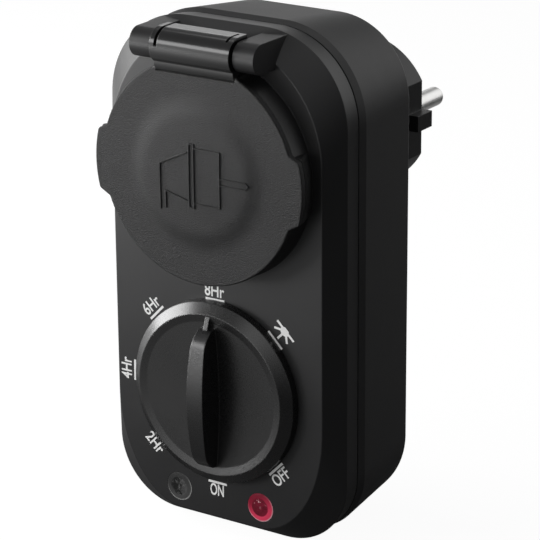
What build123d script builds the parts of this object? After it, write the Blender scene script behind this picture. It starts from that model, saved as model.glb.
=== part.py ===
"""Outdoor plug-in timer switch: a lidded earthed socket above a seven-position dial.

Millimetres. +Z is up and +Y points into the wall. The origin is the middle of the plug's
end face, on the plug's axis. "Depth" is measured back from the flat front face of the case.
"""

import os
from math import cos, radians, sin, sqrt

from build123d import *

# ---------------------------------------------------------------- case
plug_projection = 28.0        # rear wall to the plug's end face
body_depth = 36.3             # flat front face to the rear wall's outside
wall = 2.2
knob_axis_z = -52.7
socket_axis_z = 1.2

face_half_width = 28.5
face_top = 32.3
face_bottom = -85.0
face_top_radius = 27.6
face_corner_width = 17.7      # the lower corners are quarter ellipses
face_corner_height = 27.4
face_edge_round = 0.35

shell_half_width = 32.05
shell_top = 34.0
shell_bottom = -87.9
shell_top_radius = 21.4
shell_bottom_radius = 16.5
shoulder_depth = 5.0

seam_depth = 10.4
seam_gap = 0.4
seam_inset = 0.6
seal_inset = 0.5
bevel_depth = 12.8

rear_half_width = 29.4
rear_top = 31.1
rear_bottom = -89.4
rear_top_radius = 18.7
rear_bottom_radius = 19.6
rear_edge_round = 0.9

# ---------------------------------------------------------------- case screws
upper_screw_x = 21.0
upper_screw_z = 19.0
lower_screw_x = 21.5
lower_screw_z = -77.0
screw_radius = 1.45
screw_head_radius = 2.75
screw_head_height = 2.0
screw_seat_depth = 24.0       # depth of the seat under each head
screw_length = 18.0
screw_slot_radius = 1.1
boss_radius = 3.6
boss_clearance_radius = 1.7
head_well_radius = 3.0
tube_radius = 4.2
thread_clearance = 0.05

# ---------------------------------------------------------------- socket collar, lid and hinge
collar_radius = 25.75
collar_foot_radius = 26.1
collar_bore_radius = 22.9
collar_height = 5.65
ear_radius = 28.0
ear_half_height = 7.6
ear_corner_round = 0.8

hinge_axis_depth = -5.44
hinge_axis_z = 29.6
lug_radius = 3.45
lug_inner_x = 11.1
lug_outer_x = 16.57
hinge_pin_radius = 1.0
hinge_pin_fit = 0.02
hinge_running_fit = 0.06
hinge_pin_end_cover = 1.0

lid_radius = 26.0
lid_centre_z = 1.3
lid_front_depth = -7.25
lid_thickness = 1.35
lid_rim_round = 0.35
lid_tab_reach = 2.05
lid_tab_drop = 0.3            # the tabs' middle lies below the lid's centre
lid_tab_root_half_height = 8.5
lid_tab_tip_half_height = 6.6
lid_tab_corner = 1.2
lid_tab_inner_corner = 1.8
dome_flank_radius = 19.0
dome_crown_radius = 12.0
dome_height = 0.95
dome_crown_rise = 0.2
knuckle_radius = 4.2
knuckle_half_width = 10.6
knuckle_plate_reach = 3.3
knuckle_plate_thickness = 1.4
neck_chord_z = 23.9
neck_fillet = 3.2
neck_step = 0.6
swing_clearance = 0.25
spring_cavity_radius = 3.1
spring_slot_width = 0.8
fixed_leg_x = -9.0
moving_leg_x = 9.0
moving_leg_slot_width = 0.6
moving_leg_slot_length = 5.0
lid_spring_wire = 0.5
lid_spring_radius = 1.9
lid_spring_turns = 10
fixed_leg_length = 5.7
moving_leg_length = 2.1
gasket_outer_radius = 22.5
gasket_inner_radius = 20.4
gasket_gap = 0.1

# ---------------------------------------------------------------- socket
recess_radius = 19.8
recess_depth = 17.5
recess_flat_x = 16.9
guide_groove_x = 19.7
guide_groove_width = 5.4
cup_radius = 21.5
cup_flange_radius = 22.75
cup_flange_thickness = 2.0
cup_floor = 2.5
cup_fit = 0.1
pin_spacing = 19.0
pin_hole_radius = 2.8
carrier_post_radius = 2.6
carrier_post_z = 12.5
carrier_radius = 16.8
carrier_thickness = 2.0
carrier_standoff = 2.1
carrier_screw_radius = 1.1
carrier_screw_head_radius = 2.1
carrier_screw_head_height = 1.2
carrier_screw_length = 6.0

shutter_half_length = 13.2
shutter_half_height = 3.3
shutter_thickness = 1.8
shutter_post_radius = 2.2
shutter_hub_radius = 4.2
shutter_running_fit = 0.06
shutter_spring_wire = 0.36
shutter_spring_radius = 3.0
shutter_spring_turns = 2
shutter_spring_recess = 1.3
shutter_spring_recess_radius = 3.7

contact_outer_radius = 3.5
contact_inner_radius = 2.45
contact_gap = 1.4              # end of the contacts to the plug's flange behind them
contact_flange_radius = 4.4
contact_flange_thickness = 0.8
contact_slit_width = 0.7
contact_tail_offset = 3.9      # from the pin hole's axis towards the middle
contact_tail_width = 3.0
contact_tail_thickness = 0.8

earth_clip_half_width = 3.2
earth_strip = 0.7
earth_clip_radius = 18.5
earth_clip_bulge = 16.2
earth_slot_clearance = 0.4
earth_crossbar_gap = 0.95      # crossbar to the plug's flange behind it
earth_link_width = 5.0
earth_link_z = 7.0

# ---------------------------------------------------------------- plug
plug_radius = 18.8
plug_flat_x = 16.45
plug_end_wall = 4.0
plug_cavity_radius = 14.4
plug_flange_radius = 21.3
plug_flange_thickness = 2.0
plug_opening_fit = 0.1
plug_edge_round = 0.6
guide_rib_x = 19.05
guide_rib_height = 3.9
guide_rib_length = 6.6
plug_pin_radius = 2.4
plug_pin_length = 19.0
plug_pin_tip_round = 1.6
plug_pin_neck_radius = 2.2
plug_pin_ring_radius = 3.6
plug_pin_ring_depth = 0.4
plug_pin_collar_radius = 3.3
plug_pin_collar_length = 1.6
plug_pin_tail_radius = 1.6
plug_pin_tail_length = 3.2
plug_clip_floor_z = 16.4
plug_clip_strip = 0.8
plug_clip_length = 15.0
plug_clip_setback = 1.0
plug_clip_recess_half_width = 4.2

# ---------------------------------------------------------------- knob and rotary selector
knob_base_radius = 22.15
knob_lip_radius = 22.05
knob_lip_height = 1.8
knob_rim_radius = 19.65
knob_rim_depth = -3.95
knob_gap = 0.3
knob_rim_band = 1.9
knob_band_drop = 0.4
knob_dish_depth = -2.85
grip_middle_drop = 0.55       # the grip sits a little below the knob's axis
grip_front_depth = -9.65
grip_corner_depth = -8.4
grip_corner_z = 12.3
grip_end_z = 17.0
grip_end_depth = -4.6
grip_corner_bulge = 0.55
grip_half_width = 2.2
grip_end_half_width = 1.75
grip_core_half_width = 0.8
grip_core_end_z = 12.0
grip_core_depth = -7.0
pointer_half_width = 0.6
pointer_end_z = 19.75
pointer_start_depth = -5.0
pointer_sink = 0.3
grip_end_margin = 0.2
knob_stem_radius = 4.2
knob_stem_fit = 0.08
knob_stem_end_depth = 4.0
knob_seal_radius = 6.2
knob_seal_thickness = 1.2
knob_seal_fit = 0.06
shaft_radius = 2.5
shaft_flat = 1.7
shaft_front_depth = -0.8
shaft_fit = 0.02
shaft_running_fit = 0.06

selector_half_width = 13.0
selector_front_depth = 4.4
selector_wall = 1.4
selector_cavity_radius = 11.2
rotor_radius = 9.0
rotor_notch_radius = 1.0
rotor_notches = 8
rotor_front_gap = 0.4
rotor_thickness = 2.6
wiper_radius = 7.0
wiper_width = 1.6
wiper_thickness = 0.4
wiper_gap = 0.2
selector_base_thickness = 1.4
detent_strip = 0.3
detent_half_length = 5.6
detent_bump_radius = 0.8
detent_gap = -0.2

# ---------------------------------------------------------------- board and what is on it
board_depth = 13.6
board_thickness = 1.6
board_half_width = 25.0
board_top = -22.6
board_bottom = -84.0
board_corner = 12.0
board_boss_clearance = 0.8
board_post_x = 21.5
board_post_z = -31.0
board_post_radius = 3.0
board_screw_radius = 1.2
board_screw_head_radius = 2.4
board_screw_head_height = 1.5
board_screw_length = 8.0

window_x = 11.5
window_z = -79.6
window_radius = 3.5
window_bulge = 0.35
window_flange_radius = 4.3
window_flange_thickness = 0.8
window_stem_end_depth = 4.0
led_radius = 2.5
led_dome_gap = 0.6
led_base_radius = 2.9
led_base_height = 1.0
led_lead_radius = 0.3
led_lead_spacing = 2.54
sensor_radius = 2.6
sensor_thickness = 1.8
sensor_gap = 0.6

component_round = 0.6
relay_x = -12.0
relay_z = -52.0
relay_width = 15.5
relay_height = 20.5
relay_depth = 14.6
film_capacitor_x = 9.0
film_capacitor_z = -48.0
film_capacitor_width = 7.0
film_capacitor_height = 18.0
film_capacitor_depth = 13.5
electrolytic_x = 18.0
electrolytic_z = -64.5
electrolytic_radius = 4.0
electrolytic_length = 11.5
varistor_x = 18.5
varistor_z = -45.0
varistor_radius = 4.3
varistor_thickness = 3.6
fuse_x = 0.0
fuse_z = -34.5
fuse_radius = 1.8
fuse_cap_radius = 2.0
fuse_length = 10.0
fuse_cap_length = 2.0
chip_x = 6.0
chip_z = -69.0
chip_width = 10.0
chip_height = 4.2
chip_thickness = 1.6
chip_lead_width = 0.45
chip_lead_pitch = 1.27
chip_leads_per_side = 7
chip_lead_reach = 1.0
crystal_x = -6.0
crystal_z = -72.0
crystal_radius = 1.5
crystal_length = 6.2

mains_bar_offset = 0.5         # from the pin's axis outwards
mains_bar_width = 3.0
mains_bar_thickness = 0.8
mains_bar_wall_gap = 0.6       # to the wall of the plug's cavity
mains_bar_gap = 1.9            # bars to the plug's flange behind them
mains_bar_board_z = -28.6
contact_bar_board_z = -24.8

# ---------------------------------------------------------------- derived places
front_y = -(plug_projection + body_depth)
rear_wall_inner_depth = body_depth - wall
back = (0, 1, 0)
forward = (0, -1, 0)
cup_floor_depth = recess_depth - cup_flange_thickness
cup_back_depth = cup_floor_depth + cup_floor
carrier_front_depth = cup_back_depth + carrier_standoff
carrier_back_depth = carrier_front_depth + carrier_thickness
board_back_depth = board_depth + board_thickness
pin_x = pin_spacing / 2
contact_tail_x = pin_x - contact_tail_offset
mains_bar_x = pin_x + mains_bar_offset
lid_back_depth = lid_front_depth + lid_thickness
plug_flange_front_depth = rear_wall_inner_depth - plug_flange_thickness
earth_crossbar_depth = plug_flange_front_depth - earth_crossbar_gap - earth_strip / 2
contact_length = plug_flange_front_depth - contact_gap - carrier_back_depth
mains_bar_drop_depth = plug_flange_front_depth - mains_bar_gap - mains_bar_thickness
mains_bar_drop_z = mains_bar_thickness - sqrt(
    (plug_cavity_radius - mains_bar_wall_gap) ** 2 - (mains_bar_x + mains_bar_width / 2) ** 2
)
screw_places = (
    (-upper_screw_x, upper_screw_z),
    (upper_screw_x, upper_screw_z),
    (-lower_screw_x, lower_screw_z),
    (lower_screw_x, lower_screw_z),
)
board_post_places = ((-board_post_x, board_post_z), (board_post_x, board_post_z))
carrier_post_places = (
    (0, socket_axis_z + carrier_post_z),
    (0, socket_axis_z - carrier_post_z),
)


def at(depth):
    """The Y of a depth behind the front face."""
    return front_y + depth


def facing(depth):
    """A sketch plane parallel to the front face, seen from the front."""
    return Plane.XZ.offset(-at(depth))


def rounded_outline(depth, half_width, top, bottom, top_radius, corner_width, corner_height):
    """One cross-section of the case: round upper corners and elliptical lower ones."""
    upper = min(top_radius, half_width - 0.2)
    across = min(corner_width, half_width - 0.2)
    corner_z = bottom + corner_height
    with BuildSketch(facing(depth)) as section:
        with BuildLine():
            Line((-half_width, corner_z), (-half_width, top - upper))
            CenterArc((-half_width + upper, top - upper), upper, 180, -90)
            Line((-half_width + upper, top), (half_width - upper, top))
            CenterArc((half_width - upper, top - upper), upper, 90, -90)
            Line((half_width, top - upper), (half_width, corner_z))
            EllipticalCenterArc((half_width - across, corner_z), across, corner_height, 270)
            Line((half_width - across, bottom), (-half_width + across, bottom))
            EllipticalCenterArc((-half_width + across, corner_z), across, corner_height, 180)
        make_face()
    return section.sketch


def face_section(depth, inset=0.0):
    """The flat front's outline, moved in by inset."""
    return rounded_outline(
        depth,
        face_half_width - inset,
        face_top - inset,
        face_bottom + inset,
        face_top_radius - inset,
        face_corner_width - inset,
        face_corner_height - inset,
    )


def shell_section(depth, inset=0.0):
    """The case's widest outline, behind the shoulder, moved in by inset."""
    return rounded_outline(
        depth,
        shell_half_width - inset,
        shell_top - inset,
        shell_bottom + inset,
        shell_top_radius - inset,
        shell_bottom_radius - inset,
        shell_bottom_radius - inset,
    )


def rear_section(depth, inset=0.0):
    """The rear wall's outline, moved in by inset."""
    return rounded_outline(
        depth,
        rear_half_width - inset,
        rear_top - inset,
        rear_bottom + inset,
        rear_top_radius - inset,
        rear_bottom_radius - inset,
        rear_bottom_radius - inset,
    )


def flatted_disc(depth, centre_z, radius, flat_x):
    """A round plug or recess outline with a flat on each side."""
    with BuildSketch(facing(depth)) as section:
        with Locations((0, centre_z)):
            Circle(radius)
            Rectangle(2 * flat_x, 2 * radius + 2, mode=Mode.INTERSECT)
    return section.sketch


# ================================================================ front housing
# The hinge lugs' side view: a round front on the hinge axis, running back into the shoulder.
with BuildPart() as hinge_lugs:
    for side in (-1, 1):
        with BuildSketch(Plane.YZ.offset(side * lug_inner_x)):
            with Locations((at(hinge_axis_depth), hinge_axis_z)):
                Circle(lug_radius)
            with Locations((at((hinge_axis_depth + shoulder_depth) / 2), hinge_axis_z)):
                Rectangle(shoulder_depth - hinge_axis_depth, 2 * lug_radius)
        extrude(amount=side * (lug_outer_x - lug_inner_x))

# A flared ring whose two sides stay as ears behind the lid's finger tabs.
with BuildPart() as collar_ears:
    with BuildSketch(Plane.YZ):
        with BuildLine():
            Polyline(
                (at(-collar_height), socket_axis_z + collar_bore_radius),
                (at(-collar_height), socket_axis_z + ear_radius),
                (at(0), socket_axis_z + collar_foot_radius),
                (at(0), socket_axis_z + collar_bore_radius),
                close=True,
            )
        make_face()
    revolve(axis=Axis((0, 0, socket_axis_z), back))
    with Locations((0, at(-collar_height / 2), socket_axis_z)):
        Box(4 * ear_radius, 2 * collar_height, 2 * ear_half_height, mode=Mode.INTERSECT)
    corners = collar_ears.edges().filter_by(
        lambda e: abs(e.center().X) > collar_radius - 0.5 and e.bounding_box().size.Y > 1
    )
    fillet(corners, ear_corner_round)

# The room that the lid's knuckle and its top plate sweep as the lid opens.
plate_corner = sqrt(knuckle_plate_reach**2 + knuckle_radius**2)
with BuildPart() as knuckle_sweep:
    with BuildSketch(Plane.YZ):
        with Locations((at(hinge_axis_depth), hinge_axis_z)):
            Circle(plate_corner + swing_clearance)
        with Locations(
            (
                at(hinge_axis_depth) + knuckle_radius - knuckle_plate_thickness - swing_clearance,
                hinge_axis_z - knuckle_plate_reach - swing_clearance,
            )
        ):
            Rectangle(
                2 * plate_corner,
                3 * plate_corner,
                align=(Align.MIN, Align.MIN),
                mode=Mode.INTERSECT,
            )
        with Locations((at(hinge_axis_depth), hinge_axis_z)):
            Circle(knuckle_radius + swing_clearance)
    extrude(amount=knuckle_half_width + swing_clearance, both=True)

with BuildPart() as front_housing:
    # Flat face, slanted shoulder and the short band in front of the seam.
    loft([face_section(0), shell_section(shoulder_depth)], ruled=True)
    loft(
        [shell_section(shoulder_depth), shell_section(seam_depth, seam_inset)],
        ruled=True,
    )
    fillet(
        front_housing.faces().sort_by(Axis.Y)[0].edges(),
        face_edge_round,
    )
    # Collar round the socket.
    with BuildSketch(Plane.YZ):
        with BuildLine():
            Polyline(
                (at(-collar_height), socket_axis_z),
                (at(-collar_height), socket_axis_z + collar_radius),
                (at(0), socket_axis_z + collar_foot_radius),
                (at(wall), socket_axis_z + collar_foot_radius),
                (at(wall), socket_axis_z),
                close=True,
            )
        make_face()
    revolve(axis=Axis((0, 0, socket_axis_z), back))
    add(collar_ears.part)
    add(hinge_lugs.part)
    # Hollow inside, an even wall all over.
    loft(
        [face_section(wall, wall / 2), shell_section(shoulder_depth + wall / 2, wall)],
        ruled=True,
        mode=Mode.SUBTRACT,
    )
    loft(
        [
            shell_section(shoulder_depth + wall / 2, wall),
            shell_section(seam_depth + wall, seam_inset + wall),
        ],
        ruled=True,
        mode=Mode.SUBTRACT,
    )
    # Bosses for the case screws and posts for the board.
    with BuildSketch(facing(wall)):
        with Locations(*screw_places):
            Circle(boss_radius)
    extrude(amount=seam_depth - wall, dir=back)
    with BuildSketch(facing(wall)):
        with Locations(*board_post_places):
            Circle(board_post_radius)
    extrude(amount=board_depth - wall, dir=back)
    # Opening of the collar, and the hole that takes the socket insert.
    with BuildSketch(facing(-collar_height)):
        with Locations((0, socket_axis_z)):
            Circle(collar_bore_radius)
    extrude(amount=collar_height, dir=back, mode=Mode.SUBTRACT)
    with BuildSketch(facing(0)):
        with Locations((0, socket_axis_z)):
            Circle(cup_radius + cup_fit)
    extrude(amount=wall, dir=back, mode=Mode.SUBTRACT)
    add(knuckle_sweep.part, mode=Mode.SUBTRACT)
    # Knob stem hole with the pocket of its seal, and the two window holes.
    with BuildSketch(facing(0)):
        with Locations((0, knob_axis_z)):
            Circle(knob_stem_radius + knob_stem_fit)
        with Locations((-window_x, window_z), (window_x, window_z)):
            Circle(window_radius)
    extrude(amount=wall, dir=back, mode=Mode.SUBTRACT)
    with BuildSketch(facing(0)):
        with Locations((0, knob_axis_z)):
            Circle(knob_seal_radius)
    extrude(amount=knob_seal_thickness, dir=back, mode=Mode.SUBTRACT)
    # Screw holes, blind towards the front.
    with BuildSketch(facing(seam_depth)):
        with Locations(*screw_places):
            Circle(screw_radius + thread_clearance)
    extrude(amount=seam_depth - screw_seat_depth + screw_length, dir=forward, mode=Mode.SUBTRACT)
    with BuildSketch(facing(board_depth)):
        with Locations(*board_post_places):
            Circle(board_screw_radius + thread_clearance)
    extrude(
        amount=board_screw_length - board_thickness,
        dir=forward,
        mode=Mode.SUBTRACT,
    )
    # Hinge pin hole, open at the left end only.
    with BuildSketch(Plane.YZ.offset(-lug_outer_x)):
        with Locations((at(hinge_axis_depth), hinge_axis_z)):
            Circle(hinge_pin_radius + hinge_pin_fit)
    extrude(amount=2 * lug_outer_x - hinge_pin_end_cover, mode=Mode.SUBTRACT)
front_housing.part.label = "front_housing"

# ================================================================ rear housing
with BuildPart() as rear_housing:
    loft(
        [
            shell_section(seam_depth + seam_gap, seam_inset),
            shell_section(bevel_depth),
        ],
        ruled=True,
    )
    loft([shell_section(bevel_depth), rear_section(body_depth)], ruled=True)
    fillet(
        rear_housing.faces().sort_by(Axis.Y)[-1].edges(),
        rear_edge_round,
    )
    loft(
        [
            shell_section(seam_depth - wall, seam_inset + wall),
            shell_section(bevel_depth, wall),
        ],
        ruled=True,
        mode=Mode.SUBTRACT,
    )
    loft(
        [shell_section(bevel_depth, wall), rear_section(rear_wall_inner_depth, wall)],
        ruled=True,
        mode=Mode.SUBTRACT,
    )
    # Screw tubes with deep wells for the heads.
    with BuildSketch(facing(rear_wall_inner_depth)):
        with Locations(*screw_places):
            Circle(tube_radius)
    extrude(amount=rear_wall_inner_depth - seam_depth - seam_gap, dir=forward)
    with BuildSketch(facing(body_depth)):
        with Locations(*screw_places):
            Circle(head_well_radius)
    extrude(amount=body_depth - screw_seat_depth, dir=forward, mode=Mode.SUBTRACT)
    with BuildSketch(facing(body_depth)):
        with Locations(*screw_places):
            Circle(boss_clearance_radius)
    extrude(amount=body_depth - seam_depth, dir=forward, mode=Mode.SUBTRACT)
    # Opening for the plug.
    extrude(
        flatted_disc(
            rear_wall_inner_depth,
            0,
            plug_radius + plug_opening_fit,
            plug_flat_x + plug_opening_fit,
        ),
        amount=wall,
        dir=back,
        mode=Mode.SUBTRACT,
    )
rear_housing.part.label = "rear_housing"

# ================================================================ seal between the shells
with BuildPart() as housing_seal:
    extrude(
        shell_section(seam_depth, seam_inset + seal_inset),
        amount=seam_gap,
        dir=back,
    )
    extrude(
        shell_section(seam_depth, seam_inset + wall),
        amount=seam_gap,
        dir=back,
        mode=Mode.SUBTRACT,
    )
housing_seal.part.label = "housing_seal"

# ================================================================ case screws
with BuildPart() as housing_screws:
    with BuildSketch(facing(screw_seat_depth)):
        with Locations(*screw_places):
            Circle(screw_head_radius)
    extrude(amount=screw_head_height, dir=back)
    with BuildSketch(facing(screw_seat_depth)):
        with Locations(*screw_places):
            Circle(screw_radius)
    extrude(amount=screw_length, dir=forward)
    with BuildSketch(facing(screw_seat_depth + screw_head_height)):
        with Locations(*screw_places):
            Rectangle(2 * screw_slot_radius, screw_slot_radius / 2)
            Rectangle(screw_slot_radius / 2, 2 * screw_slot_radius)
    extrude(amount=screw_head_height / 2, dir=forward, mode=Mode.SUBTRACT)
housing_screws.part.label = "housing_screws"

# ================================================================ lid
# The neck's hollow front is an arc that meets the knuckle's round and the neck's own face.
neck_face_depth = lid_front_depth + neck_step
fillet_centre_depth = neck_face_depth - neck_fillet
fillet_across = hinge_axis_depth - fillet_centre_depth
fillet_down = sqrt((knuckle_radius + neck_fillet) ** 2 - fillet_across**2)
fillet_centre_z = hinge_axis_z - fillet_down
touch = neck_fillet / (knuckle_radius + neck_fillet)
lid_tab_radius = lid_radius + lid_tab_reach
tab_root_x = sqrt(lid_radius**2 - lid_tab_root_half_height**2)
touch_depth = fillet_centre_depth + touch * fillet_across
touch_z = fillet_centre_z + touch * fillet_down

with BuildPart() as socket_lid:
    # Disc with the soft dome in its middle.
    with BuildSketch(Plane.YZ):
        with BuildLine():
            crown = at(lid_front_depth - dome_height)
            half_way = (dome_crown_radius + dome_flank_radius) / 2
            ThreePointArc(
                (crown - dome_crown_rise, lid_centre_z),
                (crown - 0.75 * dome_crown_rise, lid_centre_z + dome_crown_radius / 2),
                (crown, lid_centre_z + dome_crown_radius),
            )
            TangentArc(
                (crown, lid_centre_z + dome_crown_radius),
                (at(lid_front_depth - dome_height / 2), lid_centre_z + half_way),
                tangent=(0, 1),
            )
            TangentArc(
                (at(lid_front_depth), lid_centre_z + dome_flank_radius),
                (at(lid_front_depth - dome_height / 2), lid_centre_z + half_way),
                tangent=(0, -1),
            )
            Polyline(
                (at(lid_front_depth), lid_centre_z + dome_flank_radius),
                (at(lid_front_depth), lid_centre_z + lid_radius),
                (at(lid_back_depth), lid_centre_z + lid_radius),
                (at(lid_back_depth), lid_centre_z),
                (crown - dome_crown_rise, lid_centre_z),
            )
        make_face()
    revolve(axis=Axis((0, 0, lid_centre_z), back))
    # Finger tabs, with soft inner corners where they leave the disc.
    with BuildSketch(facing(lid_back_depth)) as tab_outline:
        with Locations((0, lid_centre_z - lid_tab_drop)):
            Polygon(
                (-lid_tab_radius, lid_tab_tip_half_height),
                (-tab_root_x, lid_tab_root_half_height),
                (tab_root_x, lid_tab_root_half_height),
                (lid_tab_radius, lid_tab_tip_half_height),
                (lid_tab_radius, -lid_tab_tip_half_height),
                (tab_root_x, -lid_tab_root_half_height),
                (-tab_root_x, -lid_tab_root_half_height),
                (-lid_tab_radius, -lid_tab_tip_half_height),
            )
            Circle(lid_tab_radius, mode=Mode.INTERSECT)
        tips = tab_outline.vertices().filter_by(lambda v: abs(v.X) > (tab_root_x + lid_radius) / 2)
        fillet(tips, lid_tab_corner)
        with Locations((0, lid_centre_z)):
            Circle(lid_radius)
        inner_corners = tab_outline.vertices().filter_by(
            lambda v: abs((v.X**2 + (v.Z - lid_centre_z) ** 2) ** 0.5 - lid_radius) < 0.001
            and abs(v.X) > lid_radius / 2
        )
        fillet(inner_corners, lid_tab_inner_corner)
    extrude(amount=lid_thickness)
    front_edges = socket_lid.edges().filter_by_position(
        Axis.Y, at(lid_front_depth) - 0.001, at(lid_front_depth) + 0.001
    )
    rim = front_edges.filter_by(lambda e: all(abs(v.X) > 1 for v in e.vertices()))
    fillet(rim, lid_rim_round)
    # Above the chord the disc gives way to the neck.
    with BuildSketch(facing(lid_front_depth)):
        with Locations((0, neck_chord_z)):
            Rectangle(
                2 * knuckle_half_width,
                lid_radius,
                align=(Align.CENTER, Align.MIN),
            )
    extrude(amount=lid_thickness, dir=back, mode=Mode.SUBTRACT)
    with BuildSketch(Plane.YZ.offset(-knuckle_half_width)):
        with BuildLine():
            Line((at(lid_back_depth), neck_chord_z), (at(neck_face_depth), neck_chord_z))
            Line((at(neck_face_depth), neck_chord_z), (at(neck_face_depth), fillet_centre_z))
            RadiusArc(
                (at(neck_face_depth), fillet_centre_z),
                (at(touch_depth), touch_z),
                neck_fillet,
            )
            Polyline(
                (at(touch_depth), touch_z),
                (at(hinge_axis_depth), hinge_axis_z),
                (at(hinge_axis_depth), hinge_axis_z - knuckle_radius),
                (at(lid_back_depth), hinge_axis_z - knuckle_radius),
                (at(lid_back_depth), neck_chord_z),
            )
        make_face()
        # Knuckle, with the plate that runs back from its top.
        with Locations((at(hinge_axis_depth), hinge_axis_z)):
            Circle(knuckle_radius)
        with Locations((at(hinge_axis_depth), hinge_axis_z + knuckle_radius)):
            Rectangle(
                knuckle_plate_reach,
                knuckle_plate_thickness,
                align=(Align.MIN, Align.MAX),
            )
    extrude(amount=2 * knuckle_half_width)
    # Pin hole, the spring's room, and the two slots that its legs pass through.
    with BuildSketch(Plane.YZ.offset(-knuckle_half_width)):
        with Locations((at(hinge_axis_depth), hinge_axis_z)):
            Circle(hinge_pin_radius + hinge_running_fit)
    extrude(amount=2 * knuckle_half_width, mode=Mode.SUBTRACT)
    with BuildSketch(Plane.YZ.offset(fixed_leg_x - spring_slot_width / 2)):
        with Locations((at(hinge_axis_depth), hinge_axis_z)):
            Circle(spring_cavity_radius)
    extrude(
        amount=moving_leg_x - fixed_leg_x + (spring_slot_width + moving_leg_slot_width) / 2,
        mode=Mode.SUBTRACT,
    )
    with Locations((fixed_leg_x, at(hinge_axis_depth), hinge_axis_z + lid_spring_wire)):
        Box(
            spring_slot_width,
            4 * knuckle_radius,
            2 * knuckle_radius,
            align=(Align.CENTER, Align.CENTER, Align.MIN),
            mode=Mode.SUBTRACT,
        )
    with Locations((moving_leg_x, at(hinge_axis_depth), hinge_axis_z + spring_cavity_radius / 2)):
        Box(
            moving_leg_slot_width,
            moving_leg_slot_length,
            2 * knuckle_radius,
            align=(Align.CENTER, Align.CENTER, Align.MIN),
            mode=Mode.SUBTRACT,
        )
socket_lid.part.label = "socket_lid"

# ================================================================ lid gasket
with BuildPart() as lid_gasket:
    with BuildSketch(facing(lid_back_depth)):
        with Locations((0, socket_axis_z)):
            Circle(gasket_outer_radius)
            Circle(gasket_inner_radius, mode=Mode.SUBTRACT)
    extrude(amount=-lid_back_depth - cup_flange_thickness - gasket_gap, dir=back)
lid_gasket.part.label = "lid_gasket"

# ================================================================ hinge pin
with BuildPart() as hinge_pin:
    with BuildSketch(Plane.YZ.offset(-lug_outer_x + hinge_pin_end_cover)):
        with Locations((at(hinge_axis_depth), hinge_axis_z)):
            Circle(hinge_pin_radius)
    extrude(amount=2 * (lug_outer_x - hinge_pin_end_cover))
hinge_pin.part.label = "hinge_pin"

# ================================================================ lid spring
# A torsion spring: the left leg bears on the case, the right one turns with the lid.
with BuildPart() as lid_spring:
    with BuildLine() as coil:
        Helix(
            pitch=(moving_leg_x - fixed_leg_x) / lid_spring_turns,
            height=moving_leg_x - fixed_leg_x,
            radius=lid_spring_radius,
            center=(fixed_leg_x, at(hinge_axis_depth), hinge_axis_z),
            direction=(1, 0, 0),
        )
    with BuildSketch(Plane(origin=coil.line @ 0, z_dir=coil.line % 0)):
        Circle(lid_spring_wire / 2)
    sweep()
    with BuildSketch(facing(hinge_axis_depth - lid_spring_wire / 2)):
        with Locations((fixed_leg_x, hinge_axis_z + lid_spring_radius)):
            Circle(lid_spring_wire / 2)
    extrude(amount=fixed_leg_length + lid_spring_wire / 2, dir=back)
    with BuildSketch(Plane.XY.offset(hinge_axis_z + lid_spring_radius - lid_spring_wire / 2)):
        with Locations((moving_leg_x, at(hinge_axis_depth) + lid_spring_wire / 4)):
            Circle(lid_spring_wire / 2)
    extrude(amount=moving_leg_length)
lid_spring.part.label = "lid_spring"

# ================================================================ socket insert
with BuildPart() as socket_insert:
    with BuildSketch(facing(-cup_flange_thickness)):
        with Locations((0, socket_axis_z)):
            Circle(cup_flange_radius)
    extrude(amount=cup_flange_thickness, dir=back)
    with BuildSketch(facing(0)):
        with Locations((0, socket_axis_z)):
            Circle(cup_radius)
    extrude(amount=cup_back_depth, dir=back)
    # Recess with its flats and the guide grooves in them.
    extrude(
        flatted_disc(-cup_flange_thickness, socket_axis_z, recess_radius, recess_flat_x),
        amount=recess_depth,
        dir=back,
        mode=Mode.SUBTRACT,
    )
    with BuildSketch(facing(-cup_flange_thickness)):
        with Locations((0, socket_axis_z)):
            Rectangle(2 * guide_groove_x, guide_groove_width)
    extrude(amount=recess_depth, dir=back, mode=Mode.SUBTRACT)
    # Posts behind the floor.
    with BuildSketch(facing(cup_back_depth)):
        with Locations(*carrier_post_places):
            Circle(carrier_post_radius)
    extrude(amount=carrier_standoff, dir=back)
    with BuildSketch(facing(cup_back_depth)):
        with Locations((0, socket_axis_z)):
            Circle(shutter_post_radius)
    extrude(amount=carrier_standoff, dir=back)
    with BuildSketch(facing(carrier_front_depth)):
        with Locations(*carrier_post_places):
            Circle(carrier_screw_radius + thread_clearance)
    extrude(amount=carrier_screw_length - carrier_thickness, dir=forward, mode=Mode.SUBTRACT)
    # Pin holes and the slots that the earth clips pass through.
    with BuildSketch(facing(cup_floor_depth)):
        with Locations((-pin_x, socket_axis_z), (pin_x, socket_axis_z)):
            Circle(pin_hole_radius)
    extrude(amount=cup_floor, dir=back, mode=Mode.SUBTRACT)
    with BuildSketch(facing(cup_floor_depth)):
        for side in (-1, 1):
            with Locations((0, socket_axis_z + side * earth_clip_radius)):
                Rectangle(
                    2 * (earth_clip_half_width + earth_slot_clearance),
                    earth_strip + 2 * earth_slot_clearance,
                )
    extrude(amount=cup_floor, dir=back, mode=Mode.SUBTRACT)
socket_insert.part.label = "socket_insert"

# ================================================================ safety shutter and its spring
shutter_front_depth = cup_back_depth + (carrier_standoff - shutter_thickness) / 2
with BuildPart() as shutter:
    with BuildSketch(facing(shutter_front_depth)):
        with Locations((0, socket_axis_z)):
            SlotOverall(2 * shutter_half_length, 2 * shutter_half_height)
            Circle(shutter_hub_radius)
            Circle(shutter_post_radius + shutter_running_fit, mode=Mode.SUBTRACT)
    extrude(amount=shutter_thickness, dir=back)
shutter.part.label = "shutter"

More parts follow.
